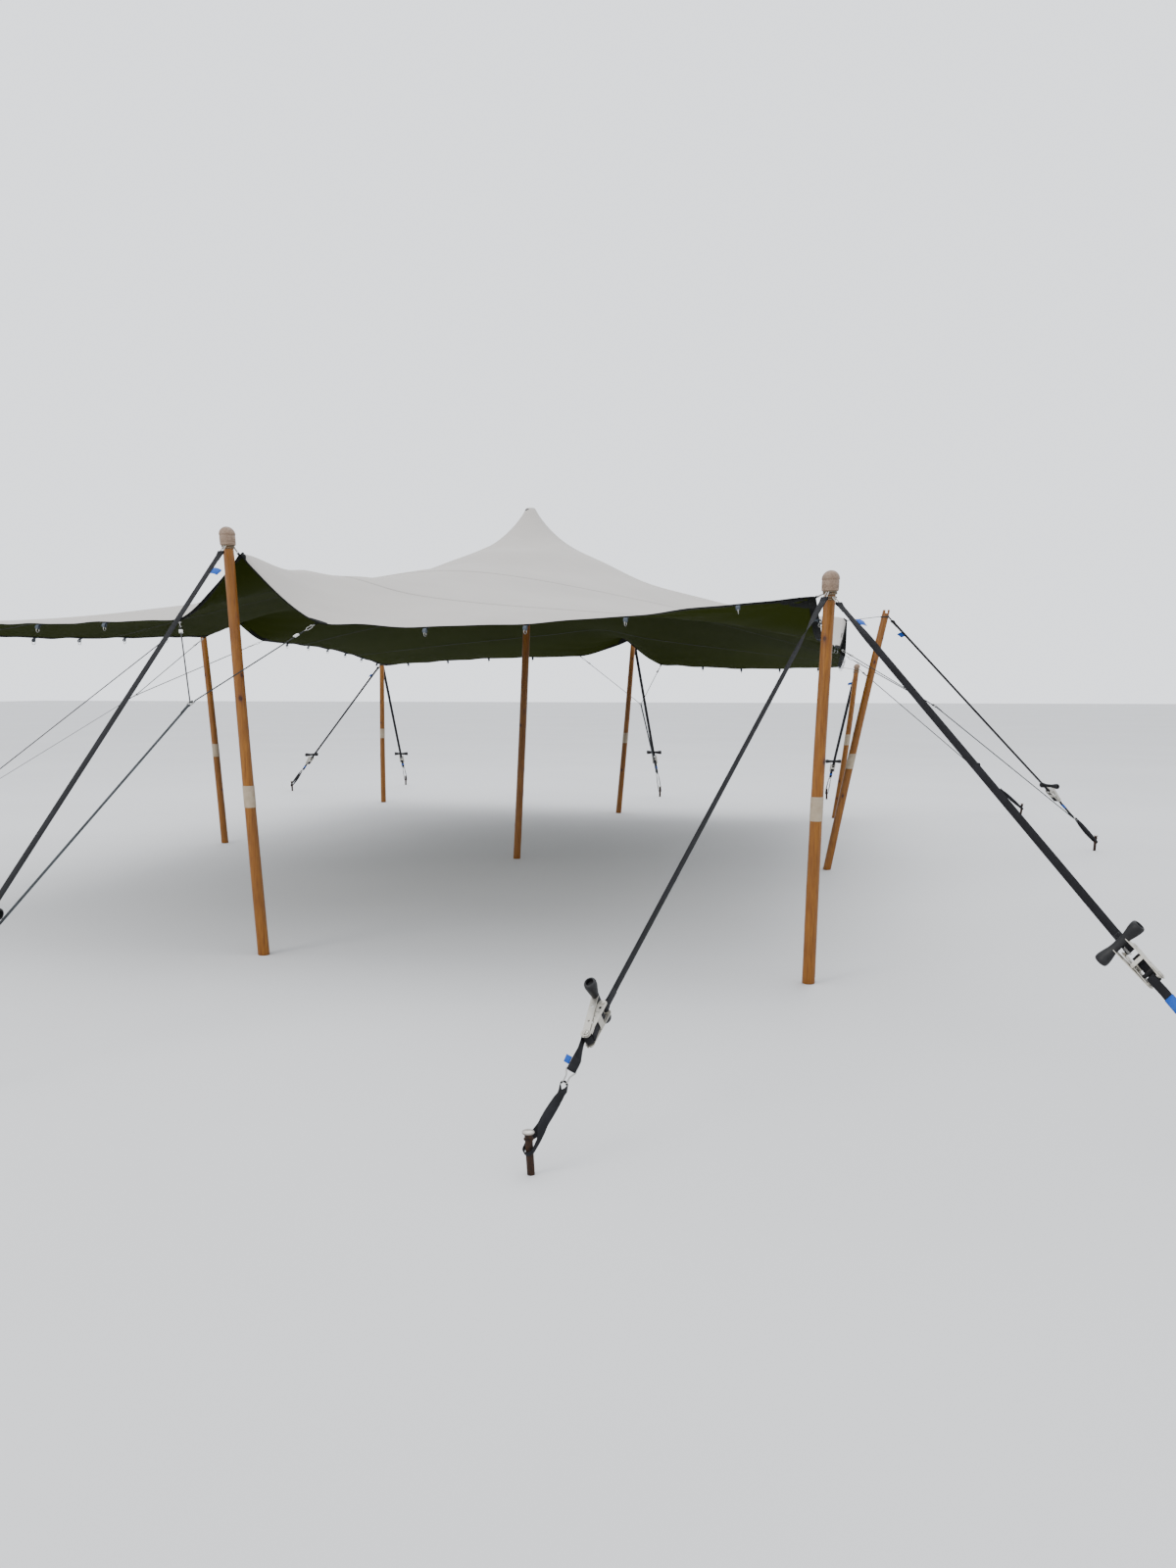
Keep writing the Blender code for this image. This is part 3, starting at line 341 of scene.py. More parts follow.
def skin(name, rings, looped=False):
    """A closed skin over rings of points."""
    bm = bmesh.new()
    uv = bm.loops.layers.uv.new("UVMap")
    rows = [[bm.verts.new(p) for p in ring] for ring in rings]
    count = len(rings[0])
    centres = [sum((Vector(p) for p in ring), Vector()) / count for ring in rings]
    along = [0.0]
    for a, b in zip(centres, centres[1:] + centres[:1]):
        along.append(along[-1] + (b - a).length)
    round_it = [0.0]
    for i in range(count):
        step = Vector(rings[0][(i + 1) % count]) - Vector(rings[0][i])
        round_it.append(round_it[-1] + step.length)
    for k in range(len(rows) if looped else len(rows) - 1):
        low, high = rows[k], rows[(k + 1) % len(rows)]
        for i in range(count):
            j = (i + 1) % count
            face = bm.faces.new((low[i], low[j], high[j], high[i]))
            corners = ((k, i), (k, i + 1), (k + 1, i + 1), (k + 1, i))
            for loop, (a, b) in zip(face.loops, corners):
                loop[uv].uv = (along[a], round_it[b])
            face.smooth = True
    if not looped:
        for row in (rows[0], rows[-1]):
            face = bm.faces.new(row)
            for loop, b in zip(face.loops, range(count)):
                loop[uv].uv = (0.0, round_it[b])
    bmesh.ops.recalc_face_normals(bm, faces=bm.faces)
    mesh = bpy.data.meshes.new(name)
    bm.to_mesh(mesh)
    bm.free()
    return new_object(name, mesh)


def directions(path, looped):
    count = len(path)
    result = []
    for k in range(count):
        if looped:
            low, high = path[k - 1], path[(k + 1) % count]
        else:
            low, high = path[max(k - 1, 0)], path[min(k + 1, count - 1)]
        result.append((high - low).normalized())
    return result


def rope(name, path, radius, material, sides=8, looped=False):
    """A round rope along a path."""
    path = [Vector(p) for p in path]
    ways = directions(path, looped)
    side = ways[0].orthogonal().normalized()
    turns = [2 * math.pi * i / sides for i in range(sides)]
    rings = []
    for point, way in zip(path, ways):
        side = (side - way * side.dot(way)).normalized()
        other = way.cross(side)
        rings.append([point + radius * (side * math.cos(a) + other * math.sin(a)) for a in turns])
    return paint(skin(name, rings, looped), material)


def wire(name, path, radius, material, sides=8, looped=False):
    """Bent wire: a round curve through its points, made a mesh."""
    curve = bpy.data.curves.new(name, "CURVE")
    curve.dimensions = "3D"
    curve.bevel_depth = radius
    curve.bevel_resolution = sides // 2 - 2
    curve.use_fill_caps = True
    spline = curve.splines.new("POLY")
    spline.points.add(len(path) - 1)
    for point, place in zip(spline.points, path):
        point.co = (*place, 1.0)
    spline.use_cyclic_u = looped
    work_on(new_object(name, curve))
    bpy.ops.object.convert(target="MESH")
    obj = bpy.context.object
    return surfaced(obj, material, math.radians(60))


def ribbon(name, path, across, width, thickness, material, looped=False):
    """Flat webbing along a path; across is its width's direction, one for all or one for each point."""
    path = [Vector(p) for p in path]
    sides = across if isinstance(across, list) else [Vector(across)] * len(path)
    widths = width if isinstance(width, list) else [width] * len(path)
    rings = []
    for point, way, side, wide in zip(path, directions(path, looped), sides, widths):
        side = (side - way * side.dot(way)).normalized()
        flat = way.cross(side)
        half, thin = wide / 2, thickness / 2
        inset = half - thin
        under = ((-half, 0), (-inset, -thin), (0, -thin), (inset, -thin))
        section = under + ((half, 0), (inset, thin), (0, thin), (-inset, thin))
        rings.append([point + side * a + flat * b for a, b in section])
    return paint(skin(name, rings, looped), material)


def arc(centre, radius, first, last, steps, plane=FLAT):
    """Points on an arc in a plane, from the first angle to the last, in degrees."""
    u, v = (Vector(way) for way in plane)
    angles = (math.radians(first + (last - first) * k / steps) for k in range(steps + 1))
    return [Vector(centre) + radius * (u * math.cos(a) + v * math.sin(a)) for a in angles]


def circle(centre, radius, count, plane=FLAT):
    """Points spaced evenly round a circle."""
    return arc(centre, radius, 0, 360 * (count - 1) / count, count - 1, plane)


def straight(a, b, steps):
    a, b = Vector(a), Vector(b)
    return [a.lerp(b, k / steps) for k in range(steps + 1)]


def turned(name, profile, material, steps=TURNED_STEPS):
    """A profile of (radius, height) points, drawn corner by corner and spun about Z."""
    first = Vector((profile[0][0], 0.0, profile[0][1]))
    obj = start("plane", name, size=0.01)
    with editing(obj):
        bpy.ops.mesh.select_mode(type="VERT")
        bpy.ops.mesh.select_all(action="SELECT")
        bpy.ops.mesh.merge(type="CENTER")
        bpy.ops.transform.translate(value=tuple(first))
        for (r0, z0), (r1, z1) in zip(profile, profile[1:]):
            extrude((r1 - r0, 0.0, z1 - z0))
        bpy.ops.mesh.select_all(action="SELECT")
        bpy.ops.mesh.spin(steps=steps, angle=2 * math.pi, center=(0, 0, 0), axis=(0, 0, 1))
    return surfaced(obj, material)


# Materials


def shader_of(material):
    return material.node_tree.nodes["Principled BSDF"]


def new_material(name, roughness, metallic=0.0, coat=0.0, sheen=0.0, shine=0.5):
    material = bpy.data.materials.new(name)
    material.use_nodes = True
    settings = {
        "Roughness": roughness, "Metallic": metallic, "Specular IOR Level": shine,
        "Coat Weight": coat, "Coat Roughness": 0.25, "Sheen Weight": sheen, "Sheen Roughness": 0.5,
    }
    for key, value in settings.items():
        shader_of(material).inputs[key].default_value = value
    return material


def node(material, kind, sockets=None, **settings):
    """One shader node, with its settings and with what its sockets hold or take."""
    new = material.node_tree.nodes.new("ShaderNode" + kind)
    for key, value in settings.items():
        setattr(new, key, value)
    for key, value in (sockets or {}).items():
        feed(material, new.inputs[key], value)
    return new


def feed(material, socket, value):
    if isinstance(value, bpy.types.NodeSocket):
        material.node_tree.links.new(value, socket)
    else:
        socket.default_value = value


def colour(material, value):
    feed(material, shader_of(material).inputs["Base Color"], value)


def rough(material, factor, *stops):
    """Roughness that follows a factor, by (position, roughness) stops."""
    value = ramp(material, factor, *((position, grey(level)) for position, level in stops))
    feed(material, shader_of(material).inputs["Roughness"], value)


def ramp(material, factor, *stops):
    """A colour ramp of (position, colour) stops."""
    new = node(material, "ValToRGB", {"Fac": factor})
    elements = new.color_ramp.elements
    while len(elements) < len(stops):
        elements.new(0.5)
    for element, (position, tint) in zip(elements, stops):
        element.position = position
        element.color = (*tint, 1.0)
    return new.outputs["Color"]


def grey(level):
    return (level, level, level)


def rising(material, factor, low, high, most=1.0):
    """Black up to one level of a factor, rising to a grey at another."""
    return ramp(material, factor, (low, grey(0.0)), (high, grey(most)))


def stretched(material, source="Object", scale=(1.0, 1.0, 1.0)):
    """Coordinates of a kind, scaled along each axis."""
    place = node(material, "TexCoord")
    return node(material, "Mapping", {"Vector": place.outputs[source], "Scale": scale}).outputs["Vector"]


def noise_of(material, vector, scale, detail=4.0, rough=0.55):
    sockets = {"Vector": vector, "Scale": scale, "Detail": detail, "Roughness": rough}
    return node(material, "TexNoise", sockets).outputs["Fac"]


def maths(material, operation, a, b=0.0):
    new = node(material, "Math", operation=operation)
    feed(material, new.inputs[0], a)
    feed(material, new.inputs[1], b)
    return new.outputs["Value"]


def mixed(material, factor, a, b, blend="MIX"):
    new = node(material, "Mix", data_type="RGBA", blend_type=blend)
    feed(material, new.inputs["Factor"], factor)
    for socket, value in ((new.inputs[6], a), (new.inputs[7], b)):
        feed(material, socket, (*value, 1.0) if isinstance(value, tuple) and len(value) == 3 else value)
    return new.outputs[2]


def bump(material, height, strength, distance, under=None):
    sockets = {"Height": height, "Strength": strength, "Distance": distance}
    if under is not None:
        sockets["Normal"] = under
    normal = node(material, "Bump", sockets).outputs["Normal"]
    feed(material, shader_of(material).inputs["Normal"], normal)
    return normal


def waves(material, vector, scale, direction="X", distortion=0.0):
    new = node(material, "TexWave", {"Vector": vector, "Scale": scale, "Distortion": distortion},
               wave_type="BANDS", bands_direction=direction)
    return new.outputs["Fac"]


def threads(material, cloth, pitch, direction):
    """Threads of a pitch in metres, on the piece's own UV map in metres."""
    return waves(material, cloth, 1 / (pitch * WAVE_TURN), direction)


def woven(material, cloth, pitch):
    """The height of a plain weave."""
    warp, weft = (maths(material, "MULTIPLY", threads(material, cloth, pitch, way), 0.5) for way in "XY")
    return maths(material, "ADD", warp, weft)


def fabric_material(name, tints, stain, sheen=0.0, shine=0.12):
    """Knitted stretch fabric: a fine rib, soft cloudy variation and a few rubbed places."""
    material = new_material(name, 0.90, sheen=sheen, shine=shine)
    place = stretched(material)
    base = ramp(material, noise_of(material, place, 0.9, 3.0), (0.30, tints[0]), (0.70, tints[1]))
    grain = noise_of(material, stretched(material, "UV", (1.0, 0.25, 1.0)), 260.0, 2.0)
    grain = ramp(material, grain, (0.2, grey(0.35)), (0.8, grey(0.75)))
    base = mixed(material, 0.22, base, grain, "SOFT_LIGHT")
    marks = rising(material, noise_of(material, place, 2.3, 6.0, 0.7), 0.60, 0.78)
    colour(material, mixed(material, maths(material, "MULTIPLY", marks, 0.30), base, stain))
    soft = bump(material, noise_of(material, place, 7.0, 3.0), 0.10, 0.010)
    bump(material, woven(material, stretched(material, "UV"), 0.0022), 0.35, 0.0006, soft)
    return material


def webbing_material(name, dark, light, shine=0.18):
    """Woven polyester webbing: ribs across, a finer thread along, and dust."""
    material = new_material(name, 0.76, sheen=0.01, shine=shine)
    dust = noise_of(material, stretched(material), 9.0, 5.0, 0.7)
    colour(material, ramp(material, dust, (0.35, dark), (0.75, light)))
    cloth = stretched(material, "UV")
    rib = threads(material, cloth, 0.0030, "X")
    cross = threads(material, cloth, 0.0050, "Y")
    bump(material, maths(material, "ADD", rib, maths(material, "MULTIPLY", cross, 0.4)), 0.6, 0.0008)
    return material


def rope_material(name, dark, light, pitch):
    """Laid rope: strands that run round it slantwise."""
    material = new_material(name, 0.70, sheen=0.05, shine=0.25)
    strand = threads(material, stretched(material, "UV", (1.0, 1.6, 1.0)), pitch, "DIAGONAL")
    grime = rising(material, noise_of(material, stretched(material), 14.0, 4.0), 0.5, 0.85, 0.5)
    lay = ramp(material, strand, (0.05, dark), (0.5, light))
    colour(material, mixed(material, grime, lay, dark))
    bump(material, strand, 0.8, 0.0016)
    return material


def pole_material():
    """Peeled and varnished softwood: grain, darker streaks, cracks, knots with rings and a clear coat."""
    material = new_material("varnished_pole_wood", 0.46, coat=0.06, shine=0.25)
    grain = noise_of(material, stretched(material, scale=(1.0, 1.0, 0.06)), 130.0, 6.0, 0.65)
    broad = noise_of(material, stretched(material, scale=(1.0, 1.0, 0.25)), 9.0, 3.0)
    cracks = noise_of(material, stretched(material, scale=(1.0, 1.0, 0.03)), 60.0, 2.0)
    knots = node(material, "Attribute", attribute_name="knot").outputs["Fac"]
    knot = rising(material, knots, 0.45, 0.70)
    tint = ramp(
        material, grain,
        (0.25, (0.080, 0.023, 0.002)), (0.46, (0.170, 0.060, 0.005)), (0.72, (0.250, 0.102, 0.011)),
    )
    for share, darker in (
        (rising(material, broad, 0.35, 0.75, 0.55), (0.098, 0.034, 0.0035)),
        (rising(material, knots, 0.05, 0.45, 0.6), (0.110, 0.034, 0.008)),
        (knot, (0.038, 0.011, 0.004)),
        (rising(material, cracks, 0.70, 0.76, 0.7), (0.042, 0.015, 0.006)),
    ):
        tint = mixed(material, share, tint, darker)
    colour(material, tint)
    rough(material, broad, (0.3, 0.34), (0.8, 0.55))
    fine = bump(material, grain, 0.25, 0.0012)
    bump(material, maths(material, "SUBTRACT", 1.0, knot), 0.30, 0.0015, fine)
    return material


def turned_material():
    """Pale turned wood: faint rings and end grain, greyed by weather."""
    material = new_material("pale_turned_wood", 0.58, coat=0.05)
    place = stretched(material)
    grain = noise_of(material, stretched(material, scale=(1.0, 0.12, 1.0)), 120.0, 5.0, 0.6)
    tint = ramp(material, grain, (0.30, (0.133, 0.080, 0.050)), (0.70, (0.228, 0.156, 0.106)))
    grime = rising(material, noise_of(material, place, 28.0, 4.0), 0.52, 0.80, 0.6)
    colour(material, mixed(material, grime, tint, (0.115, 0.072, 0.046)))
    lathe = waves(material, place, 90.0, "Z", 0.6)
    bump(material, maths(material, "ADD", lathe, grain), 0.25, 0.0008)
    return material


def band_material():
    """Plain woven label band, off-white with handling marks."""
    material = new_material("label_band", 0.66)
    place = stretched(material)
    marks = noise_of(material, place, 16.0, 6.0, 0.7)
    colour(material, ramp(material, marks, (0.35, (0.330, 0.272, 0.195)), (0.72, (0.235, 0.175, 0.112))))
    bump(material, maths(material, "ADD", waves(material, place, 160.0, "Z"), marks), 0.20, 0.0005)
    return material


def metal_material(name, tint, stain, roughness, stain_from):
    """Plated steel: fine brushed marks, with stain where the plating has gone."""
    material = new_material(name, roughness, metallic=1.0)
    place = stretched(material)
    patches = noise_of(material, place, 60.0, 6.0, 0.7)
    gone = rising(material, patches, stain_from, stain_from + 0.12)
    colour(material, mixed(material, gone, tint, stain))
    rough(material, patches, (0.3, roughness), (0.8, min(roughness + 0.35, 1.0)))
    bare = ramp(material, gone, (0.0, grey(1.0)), (1.0, grey(0.25)))
    feed(material, shader_of(material).inputs["Metallic"], bare)
    bump(material, noise_of(material, place, 420.0, 3.0), 0.18, 0.0004)
    return material


def stake_material():
    """Weathered steel pin with rust, hammered bright on its head."""
    material = new_material("stake_steel", 0.5, metallic=0.85)
    place = stretched(material)
    rust = noise_of(material, place, 85.0, 6.0, 0.7)
    tint = ramp(
        material, rust,
        (0.35, (0.020, 0.018, 0.018)), (0.55, (0.048, 0.027, 0.018)), (0.75, (0.090, 0.043, 0.021)),
    )
    height = node(material, "SeparateXYZ", {"Vector": place}).outputs["Z"]
    bright = rising(material, height, STAKE_HEIGHT - 0.012, STAKE_HEIGHT - 0.004)
    colour(material, mixed(material, bright, tint, (0.520, 0.490, 0.450)))
    rough(material, bright, (0.0, 0.72), (1.0, 0.38))
    bump(material, rust, 0.5, 0.0015)
    return material


def plastic_material(name, tint, worn, roughness, shine=0.5):
    """Moulded plastic with a fine texture and rubbed, dusty places."""
    material = new_material(name, roughness, shine=shine)
    place = stretched(material)
    colour(material, ramp(material, noise_of(material, place, 34.0, 6.0, 0.65), (0.45, tint), (0.80, worn)))
    bump(material, noise_of(material, place, 600.0, 2.0), 0.20, 0.0004)
    return material


FABRIC_TOP = fabric_material(
    "canopy_fabric_top", ((0.375, 0.354, 0.330), (0.420, 0.398, 0.372)), (0.348, 0.328, 0.305), sheen=0.08)
# The underside's dark olive is painted shade with painted green bounce light: the cloth is greige like the
# top, darkened as it looks in shadow
FABRIC_UNDER_PAINTED_SHADE = fabric_material(
    "canopy_fabric_underside", ((0.018, 0.024, 0.0020), (0.024, 0.031, 0.0030)), (0.013, 0.017, 0.0016),
    shine=0.03)
HEM_WEB = webbing_material("hem_webbing", (0.004, 0.0045, 0.004), (0.009, 0.010, 0.009), shine=0.06)
SEAM_TOP = fabric_material(
    "seam_tape_top", ((0.318, 0.300, 0.280), (0.355, 0.336, 0.315)), (0.296, 0.280, 0.262))
# The seam tape underneath is greige like the tape on top; its dark olive is painted shade with painted green
# bounce light
SEAM_UNDER_PAINTED_SHADE = webbing_material("seam_tape_underside", (0.007, 0.008, 0.004), (0.012, 0.014, 0.006))
WEBBING = webbing_material("black_webbing", (0.004, 0.004, 0.005), (0.011, 0.011, 0.014))
GREY_WEBBING = webbing_material("grey_webbing", (0.024, 0.028, 0.030), (0.048, 0.054, 0.060))
TAB_WEBBING = webbing_material("tab_webbing", (0.052, 0.064, 0.080), (0.090, 0.105, 0.124))
STITCH = webbing_material("stitching", (0.035, 0.036, 0.038), (0.070, 0.070, 0.072))
WHITE_ROPE = rope_material("white_rope", (0.230, 0.210, 0.180), (0.480, 0.462, 0.430), 0.006)
TAN_ROPE = rope_material("tan_rope", (0.070, 0.052, 0.032), (0.180, 0.142, 0.094), 0.005)
DARK_ROPE = rope_material("dark_rope", (0.006, 0.007, 0.006), (0.028, 0.030, 0.028), 0.005)
POLE_WOOD = pole_material()
TURNED_WOOD = turned_material()
LABEL_BAND = band_material()
PLATED = metal_material("plated_steel", (0.450, 0.430, 0.382), (0.120, 0.075, 0.045), 0.34, 0.62)
BLACK_STEEL = metal_material("black_steel", (0.020, 0.020, 0.021), (0.030, 0.020, 0.015), 0.50, 0.60)
WIRE = metal_material("bright_wire", (0.360, 0.354, 0.340), (0.150, 0.118, 0.088), 0.26, 0.68)
STAKE_STEEL = stake_material()
GRIP_PLASTIC = plastic_material("black_grip", (0.004, 0.004, 0.005), (0.016, 0.016, 0.016), 0.50, shine=0.3)
BLUE_TAG = plastic_material("blue_tag", (0.007, 0.062, 0.320), (0.014, 0.088, 0.370), 0.62, shine=0.2)
WHITE_PLASTIC = plastic_material("white_toggle", (0.600, 0.600, 0.582), (0.430, 0.422, 0.398), 0.42)
CAP_RUBBER = plastic_material("cap_rubber", (0.014, 0.014, 0.014), (0.040, 0.039, 0.037), 0.72)


# Camera, floor and light


def make_camera():
    data = bpy.data.cameras.new("camera")
    data.lens = CAMERA_LENS
    data.sensor_width = CAMERA_SENSOR
    camera = new_object("camera", data)
    camera.location = CAMERA_PLACE
    camera.rotation_euler = CAMERA_TURN
    bpy.context.scene.camera = camera


def make_floor():
    floor = start("plane", "studio_floor", size=FLOOR_SIZE, location=(0.0, 20.0, -FLOOR_DROP))
    material = new_material("studio_floor", 0.9)
    shade = noise_of(material, stretched(material), 0.35, 2.0)
    colour(material, ramp(material, shade, (0.3, grey(0.56)), (0.7, grey(0.59))))
    paint(floor, material)


def add_area_light(name, place, aim, size, power, tint):
    data = bpy.data.lights.new(name, "AREA")
    data.shape = "DISK"
    data.size = size
    data.energy = power
    data.color = tint
    light = new_object(name, data)
    light.location = place
    light.rotation_euler = (Vector(aim) - Vector(place)).to_track_quat("-Z", "Y").to_euler()


def make_light():
    world = bpy.data.worlds.new("studio")
    world.use_nodes = True
    background = world.node_tree.nodes["Background"]
    background.inputs["Color"].default_value = (0.92, 0.95, 1.0, 1.0)
    background.inputs["Strength"].default_value = SKY_STRENGTH
    bpy.context.scene.world = world
    add_area_light("sky_light", (1.0, 2.0, 16.0), (0.0, 0.0, 1.0), 14.0, 1300.0, (0.96, 0.98, 1.0))
    add_area_light("front_light", (-7.0, -15.0, 7.0), (0.5, -2.0, 1.2), 6.0, 900.0, (1.0, 0.97, 0.92))


# Reading the frame


def corner_points(name):
    """The different corners of a node's mesh."""
    return {tuple(round(c, 5) for c in v.co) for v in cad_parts[name].data.vertices}


def spline_weights(stations, places):
    """Rows of weights that run smoothly through values kept at the stations, one row for each place."""
    count = len(stations)
    rows = np.zeros((len(places), count))
    for row, place in zip(rows, places):
        k = min(max(int(np.searchsorted(stations, place, side="right")) - 1, 0), count - 2)
        span = stations[k + 1] - stations[k]
        u = (place - stations[k]) / span
        row[k] += 2 * u**3 - 3 * u**2 + 1
        row[k + 1] += 3 * u**2 - 2 * u**3
        for at, weight in ((k, u**3 - 2 * u**2 + u), (k + 1, u**3 - u**2)):
            low, high = max(at - 1, 0), min(at + 1, count - 1)
            slope = weight * span / (stations[high] - stations[low])
            row[high] += slope
            row[low] -= slope
    return rows


class PoleShape:
    """A pole's centre line and radius, read from the rings of corners of its solid."""

    def __init__(self, name):
        rings = {}
        for x, y, z in corner_points(name):
            rings.setdefault(round(z, 4), []).append(Vector((x, y, z)))
        full = sorted((z, points) for z, points in rings.items() if len(points) >= POLE_RING_CORNERS)
        self.heights = [z for z, _ in full]
        self.centres = [sum(points, Vector()) / len(points) for _, points in full]
        self.radii = [max((p - self.centres[end]).length for p in full[end][1]) for end in (0, -1)]
        self.top = self.heights[-1]

    def axis(self, z):
        weights = spline_weights(self.heights, [z])[0]
        return sum((c * w for c, w in zip(self.centres, weights)), Vector())

    def radius(self, z):
        return self.radii[0] + (self.radii[1] - self.radii[0]) * z / self.top

    def lean(self):
        rise = self.centres[-1] - self.centres[0]
        return rise / rise.z


POLES = {name: PoleShape(name) for name in sorted(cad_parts) if name.startswith("pole_")}


def ease(share):
    """From 0 to 1, starting and ending softly."""
    share = min(max(share, 0.0), 1.0)
    return share**2 * (3 - 2 * share)


def named(guy, kind):
    """The name of something that belongs to a guy."""
    return guy.name.replace("guy", kind)


class GuyShape:
    """A guy's own frame, X down the webbing from the ring and Z up off it, and its stations."""

    def __init__(self, guy):
        pole = POLES[guy.pole]
        notched = POLE_TOPS.get(guy.pole) == "notch"
        from_top = NOTCH_DEPTH + RING_STEP if notched else RING_TUBE + 2 * SEAT_GAP
        self.ring_height = pole.top - from_top - RING_STEP * guy.level
        self.ring_radius = pole.radius(self.ring_height) + SEAT_GAP + RING_TUBE
        self.ring_centre = pole.axis(self.ring_height)
        stake = [Vector(p) for p in corner_points(named(guy, "stake"))]
        feet = [p for p in stake if p.z < MERGE]
        heads = [p for p in stake if p.z > STAKE_HEIGHT - MERGE]
        self.foot = sum(feet, Vector()) / len(feet)
        head = sum(heads, Vector()) / len(heads)
        self.stake_lean = (head - self.foot) / STAKE_HEIGHT
        end = self.foot + self.stake_lean * SLING_LEVEL
        level = Vector((end.x - self.ring_centre.x, end.y - self.ring_centre.y, 0.0)).normalized()
        self.level = level
        origin = self.ring_centre + level * self.ring_radius
        along = end - origin
        self.length = along.length
        self.matrix = frame_matrix(origin, along, UP.cross(along))
        self.hook = self.length - guy.sling
        self.spindle = self.hook - guy.tail
        self.bolt = self.spindle - RATCHET_LENGTH + 2 * BOLT_RADIUS
        back = self.matrix.inverted()
        self.sling_end = max((back @ Vector(p)).x for p in corner_points(guy.name))
        roll = math.radians(guy.roll)
        on = roll if guy.roll_on is None else math.radians(guy.roll_on)
        self.rolls = [(TWIST_START, 0.0), (TWIST_START + TWIST_LENGTH, roll),
                      (self.spindle + RATCHET_HEIGHT, roll), (self.hook - HOOK_APPROACH, on)]
        if on > math.pi / 2:
            quarter = on + math.pi / 2
            self.rolls += [(self.hook + 0.010, on), (self.hook + 0.070, quarter),
                           (self.sling_end - 0.120, quarter), (self.sling_end - 0.045, math.pi)]
        else:
            self.rolls += [(self.hook + 0.030, on), (self.sling_end - 0.060, 0.0)]

    def at(self, x, y=0.0, z=0.0):
        return self.matrix @ Vector((x, y, z))

    def roll_at(self, x):
        """How far the webbing has rolled over at a place along it: flat at the pole and at the stake."""
        angle = 0.0
        for (low, before), (high, after) in zip(self.rolls, self.rolls[1:]):
            angle += (after - before) * ease((x - low) / (high - low))
        return angle

    def twisted(self, points):
        """Points of a path turned about the guy's axis, as far as the webbing has rolled over there."""
        points = [Vector(p) for p in points]
        return [Matrix.Rotation(self.roll_at(p.x), 3, "X") @ p for p in points]

    def rolled(self, x):
        """The frame of what hangs on the webbing at a place along it."""
        return self.matrix @ Matrix.Translation((x, 0.0, 0.0)) @ Matrix.Rotation(self.roll_at(x), 4, "X")


GUY_SHAPES = {guy.name: GuyShape(guy) for guy in GUYS}


# The canopy's surface


def net_rows(faces):
    """The corners of one side of the canopy's net, row by row from front to back."""
    links = {}
    sides = {}
    for face in faces:
        for edge in face.edges:
            a, b = edge.verts
            links.setdefault(a, set()).add(b)
            links.setdefault(b, set()).add(a)
            sides[edge] = sides.get(edge, 0) + 1
    rim = {}
    for edge, count in sides.items():
        if count == 1:
            a, b = edge.verts
            rim.setdefault(a, []).append(b)
            rim.setdefault(b, []).append(a)
    front_left, back_right = (pick(rim, key=lambda v: v.co.x + v.co.y) for pick in (min, max))
    back_left, front_right = (pick(rim, key=lambda v: v.co.x - v.co.y) for pick in (min, max))

    def rim_run(first, last, towards):
        run = [first, max(rim[first], key=lambda v: (v.co - first.co).dot(towards))]
        while run[-1] is not last:
            run.append(next(v for v in rim[run[-1]] if v is not run[-2]))
        return run

    rows = [rim_run(front_left, front_right, Vector((1, 0, 0)))]
    left = rim_run(front_left, back_left, Vector((0, 1, 0)))
    for first in left[1:]:
        last_row = rows[-1]
        used = set(last_row) | (set(rows[-2]) if len(rows) > 1 else set())
        row = [first]
        for i in range(1, len(last_row)):
            shared = (links[row[-1]] & links[last_row[i]]) - used - set(row)
            row.append(shared.pop())
        rows.append(row)
    return np.array([[tuple(v.co) for v in row] for row in rows]).transpose(1, 0, 2)


def read_net():
    """The middle of the canopy solid, as a net of points: across, then front to back."""
    bm = bmesh.new()
    bm.from_mesh(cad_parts["canopy"].data)
    bmesh.ops.remove_doubles(bm, verts=bm.verts, dist=MERGE)
    rim = [f for f in bm.faces if min(e.calc_length() for e in f.edges) < CAD_FABRIC_THICKNESS + 0.001]
    bmesh.ops.delete(bm, geom=rim, context="FACES")
    upper = net_rows([f for f in bm.faces if f.normal.z > 0])
    lower = net_rows([f for f in bm.faces if f.normal.z < 0])
    bm.free()
    return (upper + lower) / 2


NET = read_net()
MIDDLE_X = NET.shape[0] // 2
MIDDLE_Y = NET.shape[1] // 2
PEAK = Vector(NET[MIDDLE_X, MIDDLE_Y])
ACROSS = NET[:, MIDDLE_Y, 0] - PEAK.x
LENGTHWISE = NET[MIDDLE_X, :, 1] - PEAK.y


def cone_drop(radius):
    """How far the doubled patch round the peak has fallen at a radius: round over the cap, then a cone."""
    out = np.maximum(radius - PEAK_ROUNDING, 0.0)
    cone = PEAK_SLOPE * out / (1 + PEAK_EASING * out)
    drape_radii = np.array([r for r, _ in CAP_DRAPE])
    drape_drops = np.array([d for _, d in CAP_DRAPE])
    return np.where(radius < drape_radii[-1], np.interp(radius, drape_radii, drape_drops), cone)


def bending(distance_squared):
    """Kernel of a thin plate that is bent as little as possible."""
    return 0.5 * distance_squared * np.log(np.maximum(distance_squared, 1e-12))


